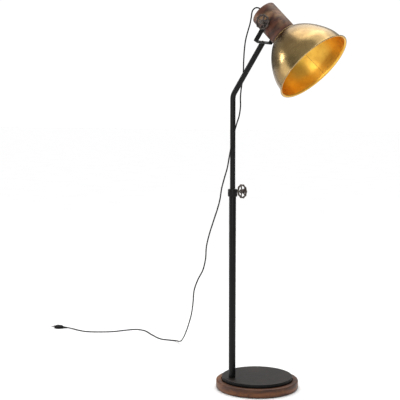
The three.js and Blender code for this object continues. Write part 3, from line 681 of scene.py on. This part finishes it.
def plug_relief():
    """A tapered strain relief with ribs round it."""
    outline = [(0, GAP), (CORD_R + 0.3, GAP)]
    ribs = 5
    for i in range(ribs):
        z = 2 + i * (PLUG_RELIEF - 5) / ribs
        r = 3.3 + 1.5 * i / ribs
        groove = r - 0.8
        outline += [(r, z), (r, z + 2.1), (groove, z + 2.5), (groove, z + 3.4)]
    outline += [(5, PLUG_RELIEF - 3), (5, PLUG_RELIEF), (0, PLUG_RELIEF)]
    return soft_turned("plug_relief_ribbed", outline, plug_axis, 0.35, 48)


def plug_body():
    """A flat moulded plug with a finger grip on its sides."""
    begin = PLUG_RELIEF + 2 * GAP
    grooves, groove_depth = 8, 0.49
    steps = 40
    sections = []
    for i in range(steps + 1):
        t = i / steps
        widen = min(1, max(0, (t - 0.02) / 0.42))
        ease = widen * widen * (3 - 2 * widen)
        tip_in = 0.12 * max(0, (t - 0.94) / 0.06) ** 2
        root_in = 0.14 * max(0, (0.05 - t) / 0.05) ** 2
        full = 1 - tip_in - root_in
        groove = sin(TAU * (t - 0.5) * grooves) if 0.5 < t < 0.87 else 0
        half_w = (8 + 9 * ease) * full - groove_depth * max(0, groove)
        half_h = (6 + ease) * full
        loop = []
        for a in circle(64):
            c, s = cos(a), sin(a)
            loop.append((
                begin + t * PLUG_BODY,
                half_w * copysign(abs(c) ** 0.55, c),
                PLUG_LIFT + half_h * copysign(abs(s) ** 0.62, s),
            ))
        sections.append(loop)
    return lofted("plug_body_moulded", sections, PLUG)


def plug_pin(side, index):
    """A round pin of bare metal with an insulated root."""
    begin = PLUG_RELIEF + 3 * GAP + PLUG_BODY
    root_r, bare_from = PIN_R - 0.15, begin + 10
    outline = [
        (0, begin), (root_r, begin), (root_r, bare_from), (PIN_R, bare_from + 0.2),
        (PIN_R, begin + 17.4), *arc(0, begin + PIN_OUT - PIN_R, PIN_R, 0.4, 1.2, 3),
        (0, begin + PIN_OUT),
    ]
    offset = Matrix.Translation(Vector((0, side * PIN_APART / 2, PLUG_LIFT)) * MM)
    place = PLUG @ offset @ Matrix.Rotation(pi / 2, 4, "Y")
    insulated = (1, 2)  # legs of the outline
    pin = turned(f"plug_pin_round_{index}", outline, place, 40, insulated)
    pin.data.materials.append(SLOTS["zinc"])
    pin.data.materials.append(SLOTS["phenolic"])
    return stands_for(pin, "root", f"plug_pin_{index}", "zinc")


plug_pieces = [
    stands_for(plug_relief(), "root", "plug_relief", "rubber"),
    stands_for(plug_body(), "root", "plug_body", "rubber"),
    plug_pin(-1, 1),
    plug_pin(1, 2),
]
head_path = cord_stretch(
    "head_cord_free", "head_cord", 0, (HEAD_STRETCH - GAP) * MM,
)
mast_path = cord_stretch(
    "mast_cord_free", "mast_cord", HEAD_STRETCH * MM, (MAST_STRETCH - GAP) * MM,
)
cord_stretch(
    "floor_cord_free", "floor_cord", MAST_STRETCH * MM, CORD_LENGTH,
)

# ---- base


def radius_and_ends(box):
    """The radius, bottom and top in mm of a round piece on the world's Z axis."""
    low, high = box
    return high.x / MM, low.z / MM, high.z / MM


GRAIN = Matrix.Rotation(camera.rotation_euler.z, 4, "Z")  # the grain runs across the main view
WOOD_R, WOOD_BOTTOM, WOOD_TOP = radius_and_ends(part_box("wood_base"))
PLATE_R, PLATE_BOTTOM, PLATE_CROWN = radius_and_ends(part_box("iron_plate"))
INNER_RING = 60  # an extra ring of vertices on the wide flats


def wood_disc():
    """The base's disc, with a recess for the plate and bores for what holds it."""
    recess_r, recess_z = PLATE_R + 1.6, PLATE_BOTTOM - GAP
    foot, brow = 2.5, 5  # the radii of its lower and upper edge
    section = [(0, WOOD_BOTTOM), (INNER_RING, WOOD_BOTTOM), (WOOD_R - foot, WOOD_BOTTOM)]
    section += arc(WOOD_R - foot, WOOD_BOTTOM + foot, foot, 0.4 - TAU / 4, 1.2 - TAU / 4, 3)
    section += [(WOOD_R, WOOD_BOTTOM + foot), (WOOD_R, WOOD_TOP - 11)]
    section += arc(WOOD_R - brow, WOOD_TOP - brow, brow, 0, TAU / 4, 9)
    section += [
        (recess_r + 1.4, WOOD_TOP), (recess_r + 0.4, WOOD_TOP - 0.4), (recess_r, WOOD_TOP - 1.4),
        (recess_r, recess_z), (INNER_RING, recess_z), (0, recess_z),
    ]
    disc = turned("wood_base_turned", section, GRAIN, 192)
    below, through = -3, recess_z + 5
    bored(disc, UPRIGHT, 20, below, 12)
    bored(disc, UPRIGHT, 5.5, below, through)
    for i in (1, 2, 3):
        centre = middle(f"plate_screw_{i}")
        screw = Matrix.Translation((centre.x, centre.y, 0))
        bored(disc, screw, 6, below, 8.3)
        bored(disc, screw, 2.9, below, through)
    return disc


def lump(x, y, layer, size=1):
    """Smooth noise at a place, in a layer of its own."""
    return noise.noise(Vector((x, y, layer)) / size)


def iron_plate():
    """A hand-dressed casting: its edge wanders a little and its top is not quite flat."""
    crown = PLATE_CROWN - 0.4

    def section(angle):
        x, y = cos(angle), sin(angle)
        wander = 0.5 * lump(3 * x, 3 * y, 0) + 0.25 * lump(9 * x, 9 * y, 5)
        dents = 0.55 * abs(sin(17 * angle + 2 * lump(2 * x, 2 * y, 8)))
        edge = PLATE_R - 1.1 + wander + dents
        corner = 3.2 + 0.8 * lump(6 * x, 6 * y, 3)
        points = [
            (0, PLATE_BOTTOM), (INNER_RING, PLATE_BOTTOM), (edge - 1.5, PLATE_BOTTOM),
            (edge - 0.4, PLATE_BOTTOM + 0.5), (edge, PLATE_BOTTOM + 1.6),
            (edge + 0.1, PLATE_CROWN - 8),
            *arc(edge - corner, crown - corner, corner, 0, TAU / 4, 8),
        ]
        for share in np.linspace(0.94, 0, 24):
            r = share * edge
            wave = 0.28 * lump(r * x, r * y, 40, 34) + 0.1 * lump(r * x, r * y, 9, 9)
            points.append((r, crown + wave * min(1, 3 * (1 - share))))
        points[-1] = (0, crown + 0.28 * lump(0, 0, 40, 34))
        return points

    plate = turned("iron_plate_cast", section, GRAIN, 224)
    return bored(plate, UPRIGHT, POLE_R + GAP, 10, PLATE_CROWN + 10)


stands_for(wood_disc(), "root", "wood_base", "mango_wood", BASE_WOOD)
stands_for(iron_plate(), "root", "iron_plate", "cast_iron")

# ---- mast


def mast_pieces():
    """The pole, the collar on its end and the bent upper tube."""
    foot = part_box("lower_pole")[0].z / MM
    bottom, top = (corner.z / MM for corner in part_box("clamp_collar"))
    pole_top = COLLAR_SEAT - GAP
    pole = [
        (POLE_BORE_R, foot), (POLE_R, foot), (POLE_R, 300), (POLE_R, pole_top),
        (POLE_BORE_R, pole_top),
    ]
    drawn = soft_turned("lower_pole_drawn", pole, UPRIGHT, 0.3, 80)
    stands_for(drawn, "root", "lower_pole", "black_steel")

    collar = [
        (POLE_R + GAP, bottom), (COLLAR_R - 1.2, bottom), (COLLAR_R, bottom + 1.2),
        (COLLAR_R, top - 1.8), (COLLAR_R - 1.8, top), (TUBE_R + GAP, top),
        (TUBE_R + GAP, COLLAR_SEAT), (POLE_R + GAP, COLLAR_SEAT),
    ]
    sleeve = soft_turned("clamp_collar_machined", collar, UPRIGHT, 0.45, 96)
    bored(sleeve, COLLAR_SCREW, 4.1, 5, COLLAR_R + 5)
    set_screw = along(middle("collar_set_screw"), -COLLAR_WAY)
    bored(sleeve, set_screw, 2.9, -8, 8)
    stands_for(sleeve, "root", "clamp_collar", "black_steel")

    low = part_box("upper_tube")[0].z / MM
    tangent = BEND_RADIUS * tan(ARM_LEAN / 2)
    centre_z = BEND_Z - tangent
    line = [(0, z) for z in np.linspace(low, centre_z - 2, 30)]
    for angle in np.linspace(0, ARM_LEAN, 22):
        line.append((BEND_RADIUS * (1 - cos(angle)), centre_z + BEND_RADIUS * sin(angle)))
    for reach in np.linspace(tangent + 2, YOKE_AT - GAP, 12):
        line.append((reach * sin(ARM_LEAN), BEND_Z + reach * cos(ARM_LEAN)))
    path = [MAST + Vector((x, 0, z)) * MM for x, z in line]
    tube = pipe("upper_tube_bent", path, TUBE_R * MM, TUBE_BORE_R * MM, 72)
    stands_for(tube, "mast", "upper_tube", "black_steel")


mast_pieces()

# ---- handwheels, screws and nuts


def hexagon_radius(angle, across):
    """A hexagon's radius at an angle, from its width across the flats."""
    sixth = TAU / 6
    return across / 2 / cos(angle % sixth - sixth / 2)


def nut(name, across, low, high, bore, place, chamfer=0.9):
    """A hexagonal nut whose corners are turned off at both faces, or a bolt head if bore is 0."""
    def section(angle):
        corner = hexagon_radius(angle, across)
        rise = [(h, min(corner, across / 2 * 0.97 + 1.75 * h)) for h in np.linspace(0, chamfer, 5)]
        under = [(r, low + h) for h, r in rise]
        over = [(r, high - h) for h, r in reversed(rise)]
        if not bore:
            return [(0, low), *under, *over, (0, high)]
        lead_in = bore + 0.5
        return [
            (bore, low + 0.5), (lead_in, low), *under, *over, (lead_in, high), (bore, high - 0.5),
        ]
    return turned(name, section, place, 96, sharp=25)


def threaded(name, radius, low, high, place):
    """A screw with a real helical thread that fades out at both ends."""
    depth = 0.62
    rows_per_turn = 7
    rows = round((high - low) / SCREW_PITCH * rows_per_turn)

    def section(angle):
        points = [(0, low)]
        for z in np.linspace(low, high, rows):
            phase = (z / SCREW_PITCH - angle / TAU) % 1
            crest = min(1, 1.5 * (1 - abs(2 * phase - 1)))
            fade = min(1, (z - low) / 1.1, (high - z) / 1.1)
            height = depth * (crest * fade - 0.6 * (1 - fade)) * 0.9
            points.append((radius - 0.9 * depth + height, z))
        return [*points, (0, high)]
    return turned(name, section, place, 48, sharp=60)


def handwheel(name, place, at):
    """A cast wheel with a lobed rim, five waisted spokes and a waisted hub."""
    lobes, lobe, rim_half, spokes = 10, 2.4, 3, 5
    here = Matrix.Identity(4)

    def rim(angle):
        outer = WHEEL_R - lobe * (0.5 - 0.5 * cos(lobes * angle))
        inner = WHEEL_INNER_R - 0.6
        box = [(inner, -rim_half), (outer, -rim_half), (outer, rim_half), (inner, rim_half)]
        return softened(box, 2.1, 6, closed=True)

    hub = [
        (0, -HUB_HALF), (8, -HUB_HALF), (8, -4.6), (6.6, -2),
        (6.6, 2), (8, 4.6), (8, HUB_HALF), (0, HUB_HALF),
    ]
    parts = [turned("rim", rim, here, 160), soft_turned("hub", hub, here, 1, 64)]
    for angle in circle(spokes):
        c, s = cos(angle), sin(angle)
        sections = []
        for reach in np.linspace(3, WHEEL_INNER_R + 2.5, 12):
            waist = 2.5 + 1.1 * abs(2 * (reach - 3) / (WHEEL_INNER_R - 0.5) - 1) ** 2
            loop = []
            for a in circle(20):
                side = waist * cos(a)
                across = 0.95 * waist * sin(a)
                loop.append((reach * c - side * s, reach * s + side * c, across))
            sections.append(loop)
        parts.append(lofted("spoke", sections, here))
    return cast(name, parts, 0.5, place @ Matrix.Translation((0, 0, at * MM)))


def wheel_set(prefix, body, place, wheel_at, tip):
    """A handwheel on its screw, with the nut that holds it."""
    nut_low = wheel_at + HUB_HALF + GAP
    nut_high = nut_low + NUT_HEIGHT
    wheel = handwheel(f"{prefix}_wheel_cast", place, wheel_at)
    stands_for(wheel, body, f"{prefix}_wheel", "pewter")
    cap = nut(f"{prefix}_wheel_nut_hex", NUT_ACROSS, nut_low, nut_high, NUT_BORE_R, place)
    stands_for(cap, body, f"{prefix}_wheel_nut", "pewter")
    screw = threaded(f"{prefix}_screw_threaded", THREAD_R, tip, nut_high + 1.6, place)
    stands_for(screw, body, f"{prefix}_screw", "zinc")


pad_back = TUBE_R + GAP + 2.8  # of the clamp pad, from the mast's axis
PIVOT_TIP = 31  # of both pivot screws, from the head's middle plane
wheel_set("collar", "collar_knob", COLLAR_SCREW, COLLAR_WHEEL_AT, pad_back + GAP)
wheel_set("tilt", "tilt_knob", NEAR, TILT_WHEEL_AT, PIVOT_TIP)

# ---- yoke and pivot


def yoke():
    """Flat bar bent into a U, with rounded ends round the tilt axis."""
    mid = YOKE_INNER + BAR / 2
    corner = 4
    end = PIVOT_AT + BAR_WIDTH / 2
    base = YOKE_AT + BAR / 2
    inland = 99  # a distance to the bar's end at which it has its full width
    line, ways = [], []  # places (y, z, distance to the end) and the bar's outward directions
    near_end = [BAR_WIDTH / 2 * (1 - cos(a)) for a in np.linspace(0.18, TAU / 4, 10)]
    for d in near_end + list(np.linspace(14, end - base - corner - 1, 12)):
        line.append((-mid, end - d, d))
        ways.append((-1, 0))
    for a in np.linspace(0, TAU / 4, 9):
        c, s = cos(a), sin(a)
        line.append((-mid + corner - corner * c, base + corner - corner * s, inland))
        ways.append((-c, -s))
    for y in np.linspace(-mid + corner + 2, 0, 12):
        line.append((y, base, inland))
        ways.append((0, -1))
    line += [(-y, z, d) for y, z, d in reversed(line[:-1])]
    ways += [(-y, z) for y, z in reversed(ways[:-1])]
    sections = []
    for (y, z, d), (out_y, out_z) in zip(line, ways):
        half, thick = BAR_WIDTH / 2, BAR / 2
        if d < half:
            half = sqrt(half**2 - (half - d) ** 2)
        box = [(-half, -thick), (half, -thick), (half, thick), (-half, thick)]
        flat = softened(box, 0.9, 4, closed=True)
        sections.append([(x, y + t * out_y, z + t * out_z) for x, t in flat])
    bar = lofted("yoke_bent", sections, ARM)
    bored(bar, ARM, 3.4, YOKE_AT - 5, YOKE_AT + 10)
    return bored(bar, NEAR, 4.2, -80, 80)


stands_for(yoke(), "mast", "yoke", "black_steel")


def pan_screw(name, body, node, place, low, seat, shank, head, height):
    """A screw with a plain shank, a domed head and a recess for the key."""
    key_r, key_floor = 0.36 * head, seat + 0.4 * height
    outline = [
        (0, low), (shank - 0.5, low), (shank, low + 0.6), (shank, seat), (head, seat),
        (head, seat + 0.5 * height), (0.72 * head, seat + height), (key_r, seat + height),
        (key_r, key_floor), (0, key_floor),
    ]
    stands_for(soft_turned(name, outline, place, 0.35, 64), body, node, "zinc")


def washer(name, body, node, place, bore, radius, low, high, slot):
    """A plain ring in place of a CAD node."""
    outline = [(bore, low), (radius, low), (radius, high), (bore, high)]
    stands_for(soft_turned(name, outline, place, 0.3, 80), body, node, slot)


web_top = YOKE_AT + BAR
pan_screw("yoke_screw_pan", "mast", "yoke_screw", ARM, YOKE_AT - 18, web_top + GAP, 3, 5.5, 2.7)
CLEARANCE_R = 4.3
STAMPED = 1.7  # the thickness of the steel washers
washer_seat = YOKE_INNER + BAR + GAP
for side, place in (("near", NEAR), ("far", FAR)):
    carrier = "tilt_washer" if side == "near" else "head"
    washer(
        f"{side}_friction_washer_pressed", "mast", f"{side}_friction_washer", place,
        CLEARANCE_R, 11, CUP_R + GAP, YOKE_INNER - GAP, "fibre",
    )
    washer(
        f"{side}_pivot_washer_stamped", carrier, f"{side}_pivot_washer", place,
        CLEARANCE_R, 9.5, washer_seat, washer_seat + STAMPED, "zinc",
    )
    washer(
        f"{side}_insert_turned", "head", f"{side}_insert", place,
        4.1, 6, 28.3, CUP_R - 0.8, "brass_insert",
    )
nut_seat = YOKE_INNER + BAR + 2 * GAP + STAMPED
lock_nut = nut("tilt_lock_nut_hex", NUT_ACROSS, nut_seat, nut_seat + 5, NUT_BORE_R, NEAR)
stands_for(lock_nut, "tilt_knob", "tilt_lock_nut", "zinc")
bolt_head = nut("far_bolt_head", NUT_ACROSS, nut_seat, nut_seat + 5.2, 0, FAR)
bolt_shank = threaded("far_bolt_shank", THREAD_R, PIVOT_TIP, nut_seat + 0.4, FAR)
for part in (bolt_head, bolt_shank):
    stands_for(part, "head", "far_pivot_bolt", "black_steel")

# ---- head


def wood_cup():
    """The turned cup, hollow at the front and bored for cord and pivots."""
    back = 4  # the radius of its back edge
    outline = [
        (CORD_BORE_R, CUP_BACK), *arc(CUP_R - back, CUP_BACK + back, back, -TAU / 4, 0, 9),
        (CUP_R, -20), (CUP_R, 20), (CUP_R, CUP_FRONT - 1), (CUP_R - 0.3, CUP_FRONT - 0.3),
        (CUP_R - 1, CUP_FRONT), (31, CUP_FRONT), (30, CUP_FRONT - 1), (30, CUP_CAVITY_AT),
        (CORD_BORE_R, CUP_CAVITY_AT),
    ]
    cup = turned("wood_cup_turned", outline, CUP, 160)
    for place in (NEAR, FAR):
        bored(cup, place, 6.3, 28, CUP_R + 10)
    return cup


def shade():
    """Spun brass: a beaded neck, the dome and a small rolled lip; gold inside.

    Returns the piece, and the inner side of the sheet's section.
    """
    dome = smooth_line([
        (55, 66.5, 0), (69.5, 78, 0), (93.5, 104.5, 0), (115.3, 140, 0), (129.8, 176, 0),
        (DOME_R, DOME_AT, 0),
    ], 12)
    back = CUP_FRONT + GAP
    bead = 1.6
    lip = (SHADE_R - LIP_R, DOME_AT + 3.2)
    roll = arc(*lip, LIP_R, -1.2, 1.6, 8)
    outer = [
        (HOLDER_R + 0.6, back), (40, back), (NECK_R - 0.6, back),
        *arc(NECK_R, back + bead, bead, 0.3 - TAU / 4, 2.4 - TAU / 4, 8),
        (NECK_R + 1.9, CUP_FRONT + 3.3), (NECK_R + 3, CUP_FRONT + 3.8),
        *[(x / MM, y / MM) for x, y, _ in dome[1:]],
        (DOME_R + 0.5, DOME_AT + 1.3), (DOME_R + 1.8, DOME_AT + 2.5), (DOME_R + 4, DOME_AT + 3.4),
        *roll,
    ]
    inner = [(outer[0][0], outer[0][1] + SHEET)]
    for before, (r, z), after in zip(outer, outer[1:-len(roll)], outer[2:]):
        dr, dz = after[0] - before[0], after[1] - before[1]
        length = hypot(dr, dz)
        inner.append((r - SHEET * dz / length, z + SHEET * dr / length))
    section = outer + [(lip[0] - 0.6, lip[1] + LIP_R)] + inner[::-1]
    skirt = turned("shade_spun", section, CUP, 256, range(len(outer) + 1, len(section)))
    skirt.data.materials.append(SLOTS["antique_brass"])
    skirt.data.materials.append(GOLD)
    return skirt, inner


def shade_dark_ridge(profile, angle):
    """A thin dark ridge that runs down the inside of the shade."""
    half, top, height, sunk = 0.55, 0.7 * 0.55, 0.35, -0.1
    ridge = [(-half, sunk), (half, sunk), (top, height), (-top, height)]
    c, s = cos(angle), sin(angle)
    sections = [
        [((r - lift) * c - across * s, (r - lift) * s + across * c, z) for across, lift in ridge]
        for r, z in profile
    ]
    return lofted("shade_dark_ridge", sections, CUP)


stands_for(wood_cup(), "head", "wood_cup", "mango_wood", CUP_WOOD)
dome_piece, inside = shade()
stands_for(dome_piece, "head", "shade", "antique_brass")
DARK_RIDGE_POINTS = 58  # of the section's inner side, counted from the lip
dark_ridge = shade_dark_ridge(inside[-DARK_RIDGE_POINTS:], DARK_RIDGE_ANGLE)
# A dark brown ridge on the gold inside, for a thin dark line down it.
dark_ridge.data.materials.append(moulded("dark_ridge", "#6b4210", "#8a5a18", 0.4, 0.6))
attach(dark_ridge, "head")


def lampholder():
    """The E27 lampholder, and the ring that holds the shade on it."""
    floor = HOLDER_BACK + 9.7
    wall = HOLDER_R - 2.4
    mouth = 14.9
    chamfer = 0.5

    def skirted(angle):
        """The body's grip: shallow flutes round the outside."""
        grip = HOLDER_R - 0.35 * (0.5 + 0.5 * cos(24 * angle))
        return [
            (0, floor - 6), (wall, floor - 6), (wall, HOLDER_BACK), (HOLDER_R - 0.4, HOLDER_BACK),
            (HOLDER_R, HOLDER_BACK + 0.4), (HOLDER_R, HOLDER_BACK + 4), (grip, HOLDER_BACK + 5),
            (grip, HOLDER_FRONT - 16), (HOLDER_R, HOLDER_FRONT - 15),
            (HOLDER_R, HOLDER_FRONT - chamfer), (HOLDER_R - chamfer, HOLDER_FRONT),
            (mouth + chamfer, HOLDER_FRONT), (mouth, HOLDER_FRONT - chamfer),
            (mouth, floor), (0, floor),
        ]

    body = turned("lampholder_body_moulded", skirted, CUP, 192)
    stands_for(body, "head", "lampholder_body", "phenolic")
    joint = HOLDER_BACK - GAP
    cap = soft_turned("lampholder_cap_moulded", [
        (5.4, 25.4), (12, 25.4), (HOLDER_R, 31), (HOLDER_R, joint), (HOLDER_R - 2, joint),
        (HOLDER_R - 2, 32.1), (11.2, 27.9), (5.4, 27.9),
    ], CUP, 0.8)
    stands_for(cap, "head", "lampholder_cap", "phenolic")

    def rolled(angle):
        """The screw shell: a rolled round thread in thin brass."""
        pitch, depth = 3.6, 0.35
        outer, inner = [], []
        for z in np.linspace(HOLDER_FRONT - 26, HOLDER_FRONT - 3, 60):
            wave = depth * sin(TAU * (z / pitch) - angle)
            outer.append((14.1 + wave, z))
            inner.append((13.7 + wave, z))
        return outer + inner[::-1]

    shell = turned("lampholder_shell_rolled", rolled, CUP, 96)
    stands_for(shell, "head", "lampholder_shell", "brass_insert")
    contact = soft_turned("lampholder_contact_pressed", [
        (0, floor + 0.4), (4, floor + 0.4), (4, floor + 1.1), (2, floor + 1.7), (0, floor + 1.7),
    ], CUP, 0.3, 48)
    stands_for(contact, "head", "lampholder_contact", "brass_insert")

    def knurled(angle):
        back = CUP_FRONT + GAP + SHEET + GAP
        edge = 27.5 - 0.5 * (0.5 + 0.5 * cos(36 * angle))
        return [
            (HOLDER_R + 0.5, back), (edge - 0.4, back), (edge, back + 0.4), (edge, back + 2.6),
            (edge - 0.6, back + 3.3), (23, back + 6.2), (HOLDER_R + 0.9, back + 6.2),
            (HOLDER_R + 0.5, back + 5.8),
        ]

    ring = turned("shade_ring_knurled", knurled, CUP, 288)
    stands_for(ring, "head", "shade_ring", "phenolic")


lampholder()


def gland():
    """The strain relief: a plug in the cup's back, a flange and a tapered ribbed nose."""
    neck, flange, seat = CORD_BORE_R - GAP, 10, CUP_BACK - GAP
    outline = [(0, GLAND_ROOT), (neck, GLAND_ROOT), (neck, seat), (flange, seat)]
    outline += [(flange, CUP_BACK - 1.9), (8.6, CUP_BACK - 2.6), (5.6, CUP_BACK - 3.2)]
    ribs = 4
    for i in range(ribs):
        z = CUP_BACK - 3.6 - 2 * i
        r = 5.3 - 0.45 * i
        groove = r - 0.7
        outline += [(r, z), (r, z - 1), (groove, z - 1.3), (groove, z - 1.8)]
    outline += [(CORD_R + 0.9, GLAND_TIP + 0.4), (CORD_R + 0.5, GLAND_TIP), (0, GLAND_TIP)]
    return soft_turned("cord_gland_ribbed", outline, CUP, 0.35, 64)


stands_for(gland(), "head", "cord_gland", "rubber")

# ---- carried-over CAD pieces

# The CAD pieces that stay get their finish and a fine bevel.
slot_of = {row["node"]: row["material_slot"] for row in frame["record"]["subparts"]}
for node, piece in frame["nodes"].items():
    if piece.hide_render:
        continue
    piece.data.materials.clear()
    piece.data.materials.append(SLOTS[slot_of[node]])
    piece.data.shade_smooth()
    piece.data.set_sharp_from_angle(angle=radians(30))
    edge = piece.modifiers.new("edge", "BEVEL")
    edge.width = 0.0002
    edge.segments = 2
    edge.limit_method = "ANGLE"
    edge.angle_limit = radians(40)

# ---- floor and light

FLOOR_HALF = 40
FLOOR_Z = -0.0002  # just below the felt pad
floor_mesh = bpy.data.meshes.new("floor")
square = ((-1, -1), (1, -1), (1, 1), (-1, 1))
corners = [(x * FLOOR_HALF, y * FLOOR_HALF, FLOOR_Z) for x, y in square]
floor_mesh.from_pydata(corners, [], [(0, 1, 2, 3)])
floor = shown("floor", floor_mesh)
pale = Finish("pale_floor", Specular_IOR_Level=0.1)
tones = pale.ramp(pale.noise(3), (0.3, "#f4f4f4"), (0.7, "#f7f7f7"))
floor_mesh.materials.append(pale.done(tones, 0.85))


def area_light(name, position, width, height, power):
    """A white rectangle of light that faces the lamp's head; metres and watts."""
    data = bpy.data.lights.new(name, "AREA")
    data.shape = "RECTANGLE"
    data.size, data.size_y = width, height
    data.energy = power
    light = shown(name, data)
    light.location = position
    way = HEAD_PLACE - Vector(position)
    light.rotation_euler = way.to_track_quat("-Z", "Y").to_euler()


HEAD_PLACE = Vector((0.2, -0.07, 1.2))
area_light("left", (-2.15, -0.85, 1.8), 0.35, 0.5, 9)
area_light("top", (-0.15, 0.35, 3.6), 2.4, 1.1, 18)
area_light("fill", (-2.6, -1.5, 0.9), 1.6, 1.6, 12)
area_light("inside", (0.99, -2.39, 1.28), 1.5, 0.9, 17)

sun_data = bpy.data.lights.new("sky_sun", "SUN")
sun_data.energy = 1.9
sun_data.angle = radians(70)
sun = shown("sky_sun", sun_data)
sun.rotation_euler = (radians(-20), radians(-6), 0)


def studio_world():
    """White behind the object; for what it reflects, dimmer towards the horizon."""
    horizon, zenith, backdrop = 0.2, 0.62, 1.05
    world = bpy.data.worlds.new("studio")
    world.use_nodes = True
    nodes, links = world.node_tree.nodes, world.node_tree.links
    surface = nodes["Background"]
    way = nodes.new("ShaderNodeTexCoord").outputs["Generated"]
    split = nodes.new("ShaderNodeSeparateXYZ")
    links.new(way, split.inputs[0])
    rise = nodes.new("ShaderNodeMapRange")
    rise.interpolation_type = "SMOOTHSTEP"
    levels = {"From Min": 0, "From Max": 0.8, "To Min": horizon, "To Max": zenith}
    for socket, value in levels.items():
        rise.inputs[socket].default_value = value
    links.new(split.outputs["Z"], rise.inputs["Value"])
    path = nodes.new("ShaderNodeLightPath")
    seen = nodes.new("ShaderNodeMix")
    seen.inputs[3].default_value = backdrop
    links.new(path.outputs["Is Camera Ray"], seen.inputs[0])
    links.new(rise.outputs[0], seen.inputs[2])
    links.new(seen.outputs[0], surface.inputs["Strength"])
    surface.inputs["Color"].default_value = (1, 1, 1, 1)
    bpy.context.scene.world = world


studio_world()
bpy.context.scene.view_settings.view_transform = "Standard"
